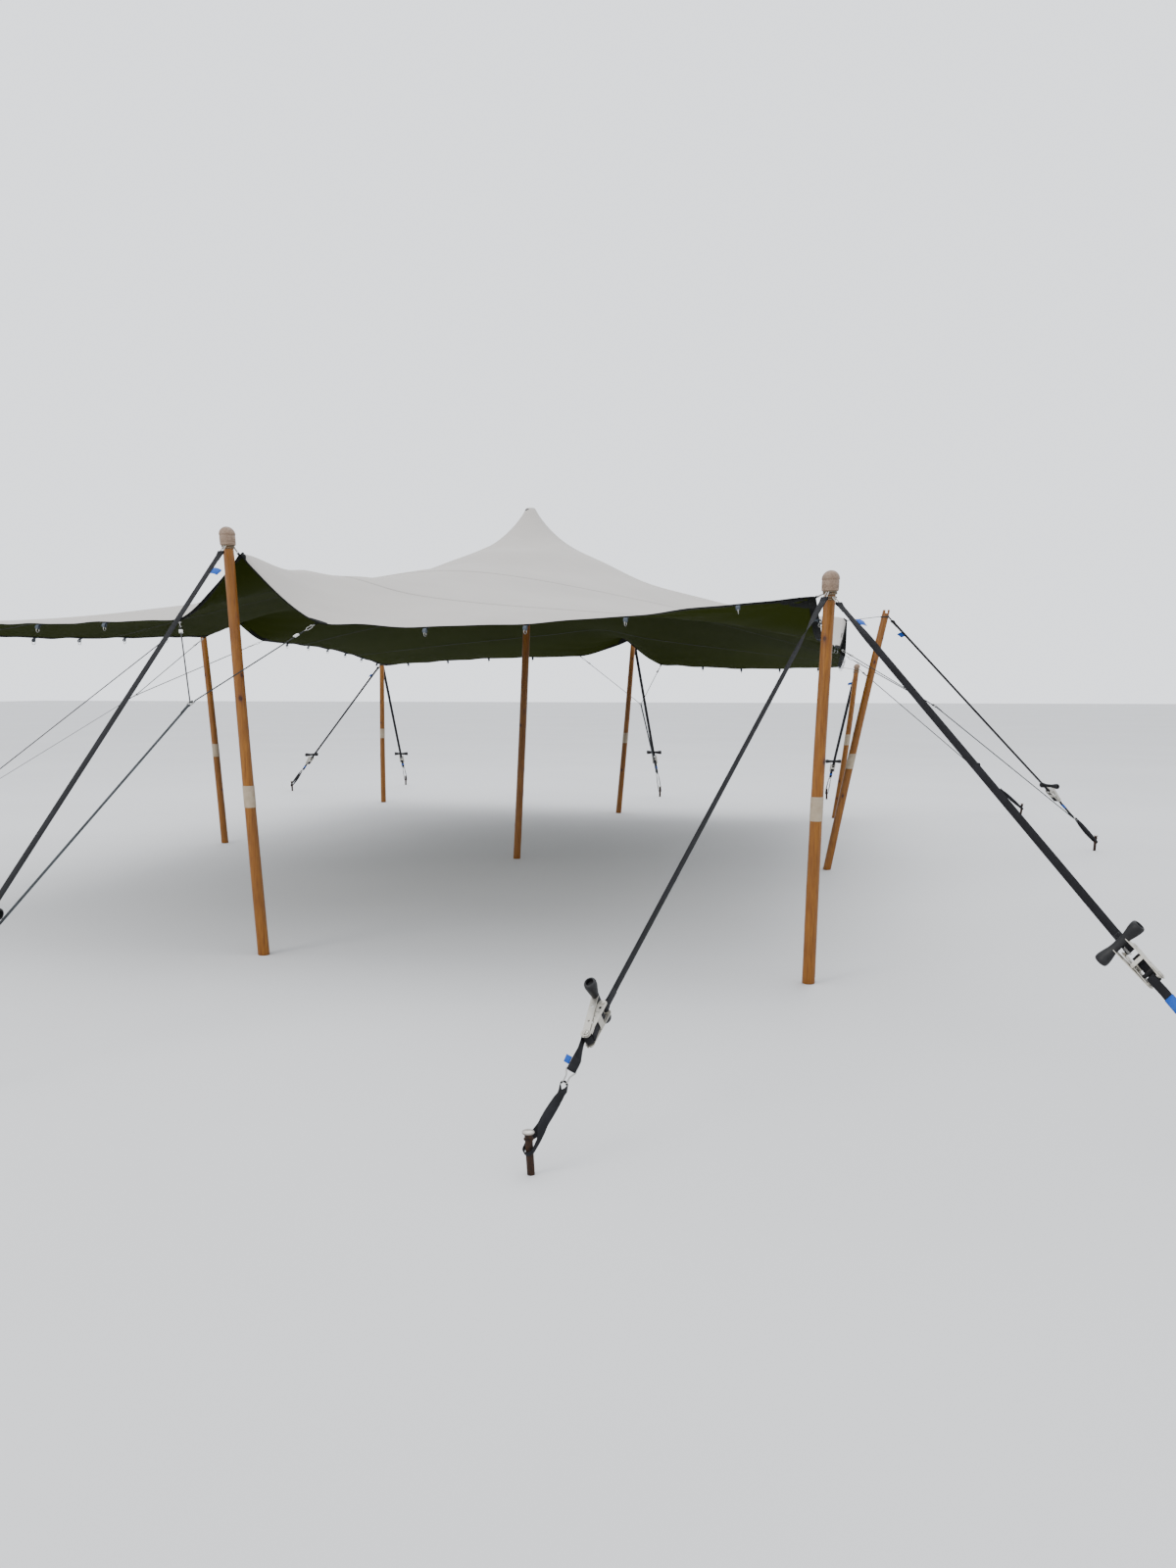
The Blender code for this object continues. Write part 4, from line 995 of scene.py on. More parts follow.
class PlateHeights:
    """The fabric's height over the ground, smooth through every point of the net."""

    def __init__(self):
        kept = []
        for i in range(NET.shape[0]):
            for j in range(NET.shape[1]):
                if max(abs(i - MIDDLE_X), abs(j - MIDDLE_Y)) > 1:
                    kept.append(NET[i, j])
        kept = np.array(kept)
        self.places = kept[:, :2]
        count = len(kept)
        gaps = ((self.places[:, None] - self.places[None]) ** 2).sum(axis=2)
        system = np.zeros((count + 3, count + 3))
        system[:count, :count] = bending(gaps)
        system[:count, count] = system[count, :count] = 1.0
        system[:count, count + 1 :] = self.places
        system[count + 1 :, :count] = self.places.T
        right = np.zeros(count + 3)
        right[:count] = kept[:, 2] - self.base(self.places)
        self.weights = np.linalg.solve(system, right)

    def base(self, places):
        radius = np.hypot(places[:, 0] - PEAK.x, places[:, 1] - PEAK.y)
        return PEAK.z - cone_drop(radius)

    def __call__(self, places):
        count = len(self.places)
        result = self.base(places) + self.weights[count] + places @ self.weights[count + 1 :]
        for first in range(0, len(places), 4000):
            part = places[first : first + 4000]
            gaps = ((part[:, None] - self.places[None]) ** 2).sum(axis=2)
            result[first : first + 4000] += bending(gaps) @ self.weights[:count]
        return result


HEIGHT_AT = PlateHeights()


def fold_heights(s, t):
    """Small tension folds: fans from the corners and pole lines, and a flutter between the edge tabs."""
    left, right = ACROSS[0], ACROSS[-1]
    front, back = LENGTHWISE[0], LENGTHWISE[-1]
    total = np.zeros_like(s)
    corners = [(s, t, 7, 0.007) for s, t in ((left, front), (right, front), (right, back), (left, back))]
    sides = [(s, t, 9, 0.006) for s, t in ((0.0, front), (0.0, back), (left, 0.0), (right, 0.0))]
    for place, along, count, size in corners + sides:
        reach = np.hypot(s - place, t - along)
        turn = np.arctan2(t - along, s - place)
        fade = np.clip(reach / FOLD_FADE[0], 0, 1) ** 2 * np.exp(-reach / FOLD_FADE[1])
        total += size * fade * np.cos(count * 2 * turn + 3 * np.sin(2 * turn + place))
    inward = np.minimum(np.minimum(s - left, right - s), np.minimum(t - front, back - t))
    sideways = np.where(np.minimum(s - left, right - s) < np.minimum(t - front, back - t), t, s)
    flutter = np.cos(2 * np.pi * sideways / TAB_SPACING) + 0.4 * np.sin(2 * np.pi * sideways / 0.31 + s)
    total += FLUTTER * flutter * np.exp(-((inward / FLUTTER_REACH) ** 2))
    for along, across, edge in ((s, t, front), (s, t, back), (t, s, left), (t, s, right)):
        depth = np.abs(across - edge) / RIDGE_DEPTH
        total += RIDGE_RISE * np.exp(-((along / RIDGE_WIDTH) ** 2)) * depth * np.exp(1 - depth)
    total += CONE_FULLNESS * np.exp(-(((np.hypot(s, t) - CONE_RING[0]) / CONE_RING[1]) ** 2))
    for place, into, length, slant in PUCKERS:
        line = t - front - into - slant * (s - place)
        total += PUCKER_HEIGHT * np.exp(-(((s - place) / length) ** 2) - (line / PUCKER_WIDTH) ** 2)
    return total


def surface(s, t):
    """Points of the fabric's middle, for distances across and lengthwise from the peak."""
    s, t = np.asarray(s, float).ravel(), np.asarray(t, float).ravel()
    across = spline_weights(ACROSS, s)
    lengthwise = spline_weights(LENGTHWISE, t)
    plan = np.einsum("ki,kj,ijc->kc", across, lengthwise, NET[:, :, :2])
    ring = np.maximum(np.abs(s), np.abs(t))
    out = ring / np.maximum(np.hypot(s, t), 1e-6)
    cone = np.stack([PEAK.x + s * out, PEAK.y + t * out], axis=1)
    blend = np.clip((ring - PATCH_CORE) / (PATCH_REACH - PATCH_CORE), 0, 1)
    blend = (blend**2 * (3 - 2 * blend))[:, None]
    plan = cone * (1 - blend) + plan * blend
    height = HEIGHT_AT(plan) + fold_heights(s, t)
    return np.column_stack([plan, height])


def surface_frames(s, t):
    """Points of the fabric with its directions across, lengthwise and upwards, each of length one."""
    step = 0.004
    s, t = np.asarray(s, float).ravel(), np.asarray(t, float).ravel()
    points = surface(s, t)
    s_side = np.where(s + step > ACROSS[-1], -step, step)
    t_side = np.where(t + step > LENGTHWISE[-1], -step, step)
    across = (surface(s + s_side, t) - points) / s_side[:, None]
    lengthwise = (surface(s, t + t_side) - points) / t_side[:, None]
    normal = np.cross(across, lengthwise)
    return points, across, lengthwise, normal / np.linalg.norm(normal, axis=1)[:, None]


def fine_stations(stations):
    """The net's stations with more between them, none further apart than a cell of the fabric."""
    result = [stations[0]]
    for a, b in zip(stations, stations[1:]):
        cell = PEAK_CELL if max(abs(a), abs(b)) < PEAK_REACH else FABRIC_CELL
        steps = max(int(math.ceil((b - a) / cell)), 2)
        result += [a + (b - a) * k / steps for k in range(1, steps + 1)]
    return np.array(result)


FINE_ACROSS = fine_stations(ACROSS)
FINE_LENGTHWISE = fine_stations(LENGTHWISE)

# Each edge: its stations, its place the other way, and whether it runs across
EDGES = {
    "front": (ACROSS, LENGTHWISE[0], True), "back": (ACROSS, LENGTHWISE[-1], True),
    "left": (LENGTHWISE, ACROSS[0], False), "right": (LENGTHWISE, ACROSS[-1], False),
}

# The first direction into the canopy from each edge, in degrees, and how far round the last one is
INWARD = {"front": 3, "back": 183, "left": -87, "right": 93}
INWARD_SPREAD = 174


def on_edge(edge, at):
    """A place on an edge, as distances across and lengthwise from the peak."""
    _, fixed, runs_across = EDGES[edge]
    return (at, fixed) if runs_across else (fixed, at)


def low_ties(edge):
    """The two places beside a side pole where its bridle holds the canopy's rim."""
    return [on_edge(edge, -PATCH_REACH), on_edge(edge, PATCH_REACH)]


def make_fabric():
    """The canopy: one curved sheet, pulled to its peak, poles and corners."""
    columns, rows = len(FINE_ACROSS), len(FINE_LENGTHWISE)
    obj = start("grid", "canopy_sheet", x_subdivisions=columns - 1, y_subdivisions=rows - 1, size=2.0)
    s, t = np.meshgrid(FINE_ACROSS, FINE_LENGTHWISE)
    points = surface(s, t)
    obj.data.vertices.foreach_set("co", points.ravel())
    uv = obj.data.uv_layers.active or obj.data.uv_layers.new(name="UVMap")
    flat = np.column_stack([s.ravel(), t.ravel()])
    loops = np.zeros(len(obj.data.loops), int)
    obj.data.loops.foreach_get("vertex_index", loops)
    uv.data.foreach_set("uv", flat[loops].ravel())
    obj.data.update()
    obj.data.materials.append(FABRIC_TOP)
    # Underneath: the fabric in its painted-shade colour
    obj.data.materials.append(FABRIC_UNDER_PAINTED_SHADE)
    obj.data.materials.append(HEM_WEB)
    if obj.data.polygons[0].normal.z < 0:
        obj.data.flip_normals()
    obj.data.shade_smooth()
    modify(obj, "SOLIDIFY", thickness=FABRIC_THICKNESS, offset=0.0, material_offset=1, material_offset_rim=2)
    return obj


def strip_on_fabric(name, stations, section, material, place):
    """A closed band on the fabric; place gives (s, t) for a station and a distance across the band."""
    spots = [(place(station, across), height) for station in stations for across, height in section]
    s = np.array([spot[0][0] for spot in spots])
    t = np.array([spot[0][1] for spot in spots])
    points, _, _, normals = surface_frames(s, t)
    lifted = points + normals * np.array([spot[1] for spot in spots])[:, None]
    lifted = lifted.reshape(len(stations), len(section), 3)
    return paint(skin(name, [[Vector(p) for p in ring] for ring in lifted]), material)


def edge_scales(stations, fixed, runs_across):
    """Metres of fabric for each metre of station across an edge, so that a hem keeps its width."""
    other = np.full(len(stations), fixed)
    s, t = (stations, other) if runs_across else (other, stations)
    _, across, lengthwise, _ = surface_frames(s, t)
    return np.linalg.norm(lengthwise if runs_across else across, axis=1)


HEM_SECTION = (
    (0.008, 0.0021), (-0.0016, 0.0021), (-0.0028, 0.0), (-0.0016, -0.0021), (0.021, -0.0023),
    (HEM_WIDTH, -0.0021), (HEM_WIDTH, -0.0013), (0.0, -0.0013), (-0.0008, 0.0), (0.0, 0.0013),
    (0.008, 0.0013),
)


def make_hem():
    """Black webbing folded round the edge, wide under the fabric and narrow on top."""
    strips = []
    for edge, (_, fixed, runs_across) in EDGES.items():
        stations = FINE_ACROSS if runs_across else FINE_LENGTHWISE
        inward = 1.0 if fixed < 0 else -1.0
        scales = dict(zip(stations, edge_scales(stations, fixed, runs_across)))

        def place(station, across, fixed=fixed, inward=inward, runs_across=runs_across, scales=scales):
            other = fixed + inward * across / scales[station]
            return (station, other) if runs_across else (other, station)

        strips.append(strip_on_fabric("hem_" + edge, stations, HEM_SECTION, HEM_WEB, place))
    return joined("canopy_hem", strips)


def make_seams():
    """Flat seams where the panels are joined: tape on top and underneath."""
    half = SEAM_WIDTH / 2
    strips = []
    for seam in SEAM_PLACES:
        # The tape underneath takes the painted-shade colour of the underside
        for top, material in ((1, SEAM_TOP), (-1, SEAM_UNDER_PAINTED_SHADE)):
            low, high = 0.0011 * top, 0.0018 * top
            section = ((-half, low), (half, low), (half, high), (0.0, high + 0.0003 * top), (-half, high))
            stations = FINE_ACROSS[1:-1]
            strips.append(strip_on_fabric(
                f"seam_{seam}_{top}", stations, section, material,
                lambda station, across, seam=seam: (station, seam + across),
            ))
    return joined("canopy_seams", strips)


# Details of the canopy's rim


def rim_frame(s, t):
    """A frame on the rim: X out of the canopy, Y along the rim, Z up off the fabric."""
    points, across, lengthwise, normals = surface_frames([s], [t])
    on_side = min(abs(s - ACROSS[0]), abs(s - ACROSS[-1])) < MERGE
    on_end = min(abs(t - LENGTHWISE[0]), abs(t - LENGTHWISE[-1])) < MERGE
    out = Vector()
    if on_side:
        out += Vector(across[0]).normalized() * math.copysign(1.0, s)
    if on_end:
        out += Vector(lengthwise[0]).normalized() * math.copysign(1.0, t)
    return frame_matrix(points[0], out, Vector(normals[0]).cross(out))


def tie_tab(rim, way, eye_place):
    """A webbing tab from under the rim, pulled out towards its rope, with its ring."""
    pull = frame_matrix(rim @ TAB_FOLD, way, UP.cross(way))
    near, far = eye_place * 0.35, eye_place * 0.7
    out = [(near, 0, 0.0012), (far, 0, 0.0030), *arc((eye_place, 0, 0), 0.0038, 80, -80, 6, UPRIGHT),
           (far, 0, -0.0030), (near, 0, -0.0012)]
    path = [rim @ Vector((-0.036, 0.0, -0.0034)), rim @ Vector((-0.012, 0.0, -0.0038))]
    path += [pull @ Vector(p) for p in out]
    path += [rim @ Vector((-0.012, 0.0, -0.0058)), rim @ Vector((-0.036, 0.0, -0.0054))]
    along_rim, across_pull = rim.col[1].to_3d(), pull.col[1].to_3d()
    if along_rim.dot(across_pull) < 0:
        along_rim = -along_rim
    sides = [along_rim] * 2 + [across_pull] * len(out) + [along_rim] * 2
    tab = ribbon("tie_tab", path, sides, 0.016, 0.0017, HEM_WEB)
    turn = circle((eye_place + TIE_RING_RADIUS, 0, 0), TIE_RING_RADIUS, 20)
    ring = wire("tie_ring", turn, 0.0019, WIRE, sides=6, looped=True)
    ring.data.transform(pull)
    return tab, ring


def tab_places():
    """Places of the webbing tabs between the low ties and the corners, along all four edges."""
    places = []
    for edge, (stations, _, _) in EDGES.items():
        for sign, end in ((-1, stations[0]), (1, stations[-1])):
            run = abs(end) - PATCH_REACH
            count = int(run / TAB_SPACING)
            for k in range(1, count + 1):
                places.append(on_edge(edge, sign * (PATCH_REACH + run * k / (count + 0.6))))
    seen = [on_edge("front", at) for at in FRONT_TABS]
    return seen + [(s, t) for s, t in places if s < 0 or t > LENGTHWISE[0] + MERGE]


def make_tabs():
    """Webbing tabs sewn under the hem, each folded round a small ring."""
    fold = ((-0.036, -0.0040), (-0.010, -0.0042), (0.002, -0.0060), (0.011, -0.0120), (0.0145, -0.0210),
            (0.0110, -0.0290), (0.0035, -0.0310), (-0.0030, -0.0260), (-0.0050, -0.0170), (-0.0080, -0.0090),
            (-0.016, -0.0066), (-0.036, -0.0064))
    tab = ribbon("tab_pattern", [(x, 0, z) for x, z in fold], (0, 1, 0), 0.022, 0.0018, TAB_WEBBING)
    turn = circle((0.006, 0, -0.0375), 0.0125, 20, UPRIGHT)
    ring = wire("ring_pattern", turn, 0.0021, WIRE, sides=6, looped=True)
    tabs, rings = [], []
    for number, (s, t) in enumerate(tab_places()):
        matrix = rim_frame(s, t)
        swing = Matrix.Rotation(0.25 * math.sin(5.1 * number), 4, "Z")
        tabs.append(stamp(tab, matrix, "tab"))
        rings.append(stamp(ring, matrix @ swing, "tab_ring"))
    discard(tab, ring)
    return joined("canopy_tabs", tabs), joined("canopy_tab_rings", rings)


def patch_on_rim(s, t, first, last, reach, reach_on_top):
    """Reinforcing patches under and on the fabric round a place on the rim, between two directions."""
    angles = [math.radians(first + (last - first) * k / 10) for k in range(11)]
    parts = []
    for top, wide in ((1, reach_on_top), (-1, reach)):
        low, high = 0.0024 * top, 0.0034 * top
        section = ((0.006, low), (wide, low), (wide * 1.01, (low + high) / 2), (wide, high), (wide / 2, high),
                   (0.006, high))
        parts.append(strip_on_fabric(
            "patch", angles, section, HEM_WEB,
            lambda angle, out: (
                min(max(s + out * math.cos(angle), ACROSS[0]), ACROSS[-1]),
                min(max(t + out * math.sin(angle), LENGTHWISE[0]), LENGTHWISE[-1]),
            ),
        ))
    return parts


def make_patches():
    left, right = ACROSS[0], ACROSS[-1]
    front, back = LENGTHWISE[0], LENGTHWISE[-1]
    parts = []
    for number, (s, t) in enumerate(((left, front), (right, front), (right, back), (left, back))):
        parts += patch_on_rim(s, t, 4 + 90 * number, 86 + 90 * number, 0.17, 0.09)
    for edge, first in INWARD.items():
        parts += patch_on_rim(*on_edge(edge, 0.0), first, first + INWARD_SPREAD, 0.085, 0.030)
    for edge, first in INWARD.items():
        for s, t in low_ties(edge):
            parts += patch_on_rim(s, t, first, first + INWARD_SPREAD, 0.060, 0.045)
    return joined("canopy_patches", parts)


# Poles, bands, finials, cap and stakes


class Trunk:
    """The uneven round of a peeled pole, with its knots."""

    def __init__(self, name, number):
        self.shape = POLES[name]
        self.offset = 7.3 * number
        chance = random.Random(41 + number)
        self.knots = []
        height = 0.12
        while height < self.shape.top - 0.12:
            height += chance.uniform(0.10, 0.34)
            if abs(height - BAND_HEIGHT) > BAND_LENGTH * 0.75:
                turn = chance.uniform(0, 2 * math.pi)
                self.knots.append((turn, height, chance.uniform(0.7, 1.25) * KNOT_SIZE))

    def knot(self, angle, z):
        """How much of a knot there is at a place, from 0 to 1."""
        found = 0.0
        for knot_angle, knot_z, size in self.knots:
            if abs(z - knot_z) < 4 * size:
                turn = (angle - knot_angle + math.pi) % (2 * math.pi) - math.pi
                wide = turn * self.shape.radius(z) / size
                tall = (z - knot_z) / (1.5 * size)
                found = max(found, math.exp(-(wide**2 + tall**2) * 2))
        return found

    def radius(self, angle, z):
        place = Vector((math.cos(angle), math.sin(angle), 1.3 * z + self.offset))
        uneven = POLE_ROUGHNESS * noise.noise(place) + 0.5 * POLE_ROUGHNESS * noise.noise(3.1 * place)
        return self.shape.radius(z) + uneven + KNOT_RISE * self.knot(angle, z) - POLE_ROUGHNESS


def wrap(obj, trunk):
    """Moves a shape made round the Z axis, at its radius over the bark, onto its pole."""
    base = trunk.shape.radii[0]
    for vert in obj.data.vertices:
        x, y, z = vert.co
        out = math.hypot(x, y)
        angle = math.atan2(y, x)
        scale = 1 + (trunk.radius(angle, z) - base) / base if out > 0 else 1.0
        axis = trunk.shape.axis(z)
        vert.co = (x * scale + axis.x, y * scale + axis.y, z)


def make_pole(name, trunk):
    """A peeled round pole, drawn as a cylinder, cut into rings and given its lean, bow and knots."""
    shape = trunk.shape
    obj = start("cylinder", "wood_" + name, vertices=POLE_SIDES, radius=shape.radii[0], depth=shape.top,
                location=(0.0, 0.0, shape.top / 2))
    with editing(obj):
        select(obj, "EDGE", lambda e: abs(edge_along(e).z) < 0.5)
        bpy.ops.mesh.bevel(offset=POLE_END_BEVEL, segments=2)
        select(obj, "EDGE", lambda e: abs(edge_along(e).z) > 0.5 and e.calc_length() > 0.1)
        bpy.ops.mesh.subdivide(number_cuts=int(POLE_CUTS_PER_METRE * shape.top))
    marks = obj.data.attributes.new("knot", "FLOAT", "POINT")
    values = [trunk.knot(math.atan2(v.co.y, v.co.x), v.co.z) for v in obj.data.vertices]
    marks.data.foreach_set("value", values)
    wrap(obj, trunk)
    if POLE_TOPS.get(name) == "notch":
        x, y, _ = shape.axis(shape.top)
        cut_with(obj, block("notch_saw", (NOTCH_WIDTH, 0.2, 2 * NOTCH_DEPTH), (x, y, shape.top)))
    return surfaced(obj, POLE_WOOD)


def make_band(name, trunk):
    """A plain label band wrapped round the pole, its end lapped over its start."""
    radius = trunk.shape.radii[0] + BAND_THICKNESS
    obj = start("cylinder", name.replace("pole", "band"), vertices=64, radius=radius, depth=BAND_LENGTH,
                end_fill_type="NOTHING", location=(0.0, 0.0, BAND_HEIGHT))
    with editing(obj):
        select(obj, "EDGE", lambda e: abs(edge_along(e).z) > 0.5)
        bpy.ops.mesh.subdivide(number_cuts=10)
    for vert in obj.data.vertices:
        x, y, z = vert.co
        angle = math.atan2(y, x)
        lap = 1 + BAND_THICKNESS / radius if 0.6 < angle < 1.5 else 1.0
        crease = 1 + 0.006 * math.sin(z * 260) * max(math.cos(angle * 2), 0)
        vert.co = (x * lap * crease, y * lap * crease, z)
    wrap(obj, trunk)
    modify(obj, "SOLIDIFY", thickness=BAND_THICKNESS, offset=0.0)
    return surfaced(obj, LABEL_BAND, math.radians(50))


def finial_profile():
    """Up the turned finial: foot, short cylinder, dark groove, then the dome."""
    base = [(0.0, 0.0), (0.0375, 0.0), (0.0415, 0.0025), (0.0432, 0.0080), (0.0436, 0.0150), (0.0424, 0.0168),
            (0.0436, 0.0186), (0.0440, 0.0500), (0.0428, 0.0545), (0.0428, 0.0565), (0.0450, 0.0590)]
    centre = FINIAL_HEIGHT - FINIAL_RADIUS
    dome = [
        (FINIAL_RADIUS * math.cos(a), centre + (FINIAL_RADIUS - SEAT_GAP) * math.sin(a))
        for a in (math.pi / 2 * k / 12 for k in range(13))
    ]
    return base + dome[:-1] + [(0.0, FINIAL_HEIGHT - SEAT_GAP)]


def knob_profile():
    """Up the round knob, from its narrow neck."""
    centre = KNOB_HEIGHT - KNOB_RADIUS
    lowest = math.asin((0.004 - centre) / KNOB_RADIUS)
    ball = [
        (KNOB_RADIUS * math.cos(a), centre + (KNOB_RADIUS - SEAT_GAP) * math.sin(a))
        for a in (lowest + (math.pi / 2 - lowest) * k / 16 for k in range(17))
    ]
    return [(0.0, 0.0), (ball[0][0] - 0.001, 0.0)] + ball[:-1] + [(0.0, KNOB_HEIGHT - SEAT_GAP)]


def place_on_pole(pole):
    """Stands a turned piece on a pole's shaft, leaning with it but with its underside level."""
    lean = Matrix.Identity(4)
    slope = pole.lean()
    lean[0][2], lean[1][2] = slope.x, slope.y
    return Matrix.Translation(pole.axis(pole.top) + Vector((0.0, 0.0, SEAT_GAP))) @ lean


def make_poles():
    finial = turned("finial_pattern", finial_profile(), TURNED_WOOD)
    knob = turned("knob_pattern", knob_profile(), TURNED_WOOD)
    for number, name in enumerate(POLES):
        trunk = Trunk(name, number)
        finished(make_pole(name, trunk), "varnished_wood", name)
        top = POLE_TOPS.get(name, "finial")
        if top != "cap":
            finished(make_band(name, trunk), "varnished_wood")
        if top in ("finial", "knob"):
            place = name.replace("pole_", "")
            pattern = finial if top == "finial" else knob
            piece = stamp(pattern, place_on_pole(POLES[name]), "turned_top_" + place)
            finished(piece, "turned_wood", "finial_" + place)
    discard(finial, knob)
    cap = turned("cap_pattern", CAP_PROFILE, CAP_RUBBER)
    shape = POLES["pole_centre"]
    cap.data.transform(Matrix.Translation(shape.axis(shape.top) + Vector((0.0, 0.0, SEAT_GAP))))
    cap.name = "rubber_cap"
    finished(cap, "cap_rubber", "centre_cap")


def stake_profile():
    """Up the stake: shank, collar, neck and the head that the hammer has spread."""
    top = STAKE_HEIGHT
    return [(0.0, 0.0), (0.0125, 0.0), (0.0128, 0.060), (0.0126, top - 0.034), (0.0160, top - 0.032),
            (0.0164, top - 0.028), (0.0130, top - 0.026), (0.0128, top - 0.015), (0.0180, top - 0.0125),
            (0.0200, top - 0.0085), (0.0196, top - 0.0050), (0.0165, top - 0.0018), (0.0090, top - 0.0003),
            (0.0, top)]


def make_stakes():
    pattern = turned("stake_pattern", stake_profile(), STAKE_STEEL, steps=28)
    for vert in pattern.data.vertices:
        if vert.co.z > STAKE_HEIGHT - 0.014 and math.hypot(vert.co.x, vert.co.y) > 0.005:
            dent = 1 + 0.10 * noise.noise(vert.co * 95)
            vert.co.x *= min(dent, 1.0)
            vert.co.y *= min(dent, 1.0)
    for guy in GUYS:
        shape = GUY_SHAPES[guy.name]
        lean = Matrix.Identity(4)
        lean[0][2], lean[1][2] = shape.stake_lean.x, shape.stake_lean.y
        turn = Matrix.Rotation(math.atan2(shape.level.y, shape.level.x), 4, "Z")
        piece = stamp(pattern, Matrix.Translation(shape.foot) @ lean @ turn, named(guy, "pin"))
        finished(piece, "steel", named(guy, "stake"))
    discard(pattern)


# Ratchets


def rounded_bar(name, low, high, y, height, holes):
    """A steel plate on edge along X with round ends, drilled at (x, radius) holes."""
    obj = block(name, (high - low, RATCHET_PLATE, height), ((low + high) / 2, y, 0.0))
    with editing(obj):
        select(obj, "EDGE", lambda e: abs(edge_along(e).y) > 0.9)
        bpy.ops.mesh.bevel(offset=height * 0.46, segments=6)
    for x, radius in holes:
        cut_with(obj, start("cylinder", "drill", vertices=20, radius=radius, depth=0.02,
                            location=(x, y, 0.0), rotation=LYING))
    modify(obj, "BEVEL", width=0.0004, segments=1, limit_method="ANGLE", angle_limit=math.radians(50))
    return surfaced(obj, PLATED)


def pin(name, x, radius, reach, sides=24):
    """A round or six-sided steel pin across the ratchet."""
    obj = start("cylinder", name, vertices=sides, radius=radius, depth=2 * reach, location=(x, 0.0, 0.0),
                rotation=LYING)
    with editing(obj):
        select(obj, "EDGE", lambda e: abs(edge_along(e).y) < 0.5)
        bpy.ops.mesh.bevel(offset=radius * 0.08, segments=2)
    return surfaced(obj, PLATED)


def toothed_wheel(y):
    """A ratchet wheel: every second face of its rim drawn out into a tooth."""
    obj = start("cylinder", "ratchet_wheel", vertices=2 * WHEEL_TEETH, radius=0.0165, depth=0.0015,
                location=(0.0, y, 0.0), rotation=LYING)

    def is_tooth(face):
        turn = math.atan2(face.normal.z, face.normal.x) * WHEEL_TEETH / math.pi
        return abs(face.normal.y) < 0.5 and int(math.floor(turn)) % 2 == 0

    with editing(obj):
        select(obj, "FACE", is_tooth)
        bpy.ops.mesh.extrude_region_shrink_fatten(TRANSFORM_OT_shrink_fatten={"value": TOOTH_HEIGHT})
    return surfaced(obj, PLATED)


def loft(name, sections, material):
    """Rings of (place, width, height) along Y, drawn out of one round end, with hollowed ends."""
    sides = 20
    place, width, height = sections[0]
    obj = start("circle", name, vertices=sides, radius=0.5, fill_type="NGON", location=(0.0, place, 0.0),
                rotation=LYING)
    with editing(obj):
        bpy.ops.mesh.select_mode(type="FACE")
        bpy.ops.mesh.select_all(action="SELECT")
        bpy.ops.transform.resize(value=(width, 1.0, height), center_override=(0.0, place, 0.0))
        for (_, w0, h0), (at, w1, h1) in zip(sections, sections[1:]):
            extrude((0.0, at - place, 0.0))
            place = at
            bpy.ops.transform.resize(value=(w1 / w0, 1.0, h1 / h0), center_override=(0.0, at, 0.0))
        bpy.ops.mesh.select_all(action="SELECT")
        bpy.ops.mesh.normals_make_consistent(inside=False)
        select(obj, "FACE", lambda f: len(f.verts) == sides)
        bpy.ops.mesh.inset(thickness=0.0035, use_individual=True)
        bpy.ops.mesh.inset(thickness=0.0015, depth=-0.0120, use_individual=True)
    return surfaced(obj, material, math.radians(50))


def make_ratchet_pattern():
    """The ratchet's frame round its spindle: drilled side plates, floor, bolt, split spindle and wheels."""
    outer = RATCHET_INNER / 2 + RATCHET_PLATE
    low, high = -RATCHET_LENGTH, RATCHET_HEIGHT / 2
    holes = [(x, 0.0055) for x in (-0.116, -0.094, -0.072, -0.050)]
    parts = []
    for side in (-1, 1):
        y = side * (RATCHET_INNER + RATCHET_PLATE) / 2
        parts.append(rounded_bar("side_plate", low, high, y, RATCHET_HEIGHT, holes))
        parts.append(toothed_wheel(side * (outer + HANDLE_SIDE_GAP / 2)))
    floor = block("floor_plate", (0.026, RATCHET_INNER, 0.0020), (-0.074, 0.0, -0.0150))
    with editing(floor):
        select(floor, "FACE", lambda f: f.normal.x < -0.5)
        extrude((-0.006, 0.0, 0.0040))
        select(floor, "FACE", lambda f: f.normal.z > 0.9 and f.calc_area() > 0.0008)
        bpy.ops.mesh.inset(thickness=0.005, depth=-0.0008)
    parts.append(surfaced(floor, PLATED))
    bolt_x = low + 2 * BOLT_RADIUS
    parts.append(pin("bolt", bolt_x, BOLT_RADIUS, outer + 0.001))
    for side in (-1, 1):
        head = pin("bolt_head", bolt_x, 0.0085, 0.0018, sides=6)
        head.data.transform(Matrix.Translation((0.0, side * (outer + 0.0018), 0.0)))
        parts.append(head)
    spindle = pin("spindle", 0.0, SPINDLE_RADIUS, outer + HANDLE_SIDE_GAP + 0.0045)
    cut_with(spindle, block("slot_saw", (0.03, 0.1, 0.0024)))
    parts.append(spindle)
    pawl = block("pawl", (0.008, RATCHET_INNER, 0.0030), (-0.028, 0.0, 0.0125))
    with editing(pawl):
        select(pawl, "FACE", lambda f: f.normal.x > 0.5)
        extrude((0.006, 0.0, -0.0035))
        bpy.ops.transform.resize(value=(1.0, 0.85, 0.5), center_override=(-0.016, 0.0, 0.009))
    parts.append(surfaced(pawl, BLACK_STEEL))
    return joined("ratchet_pattern", parts)


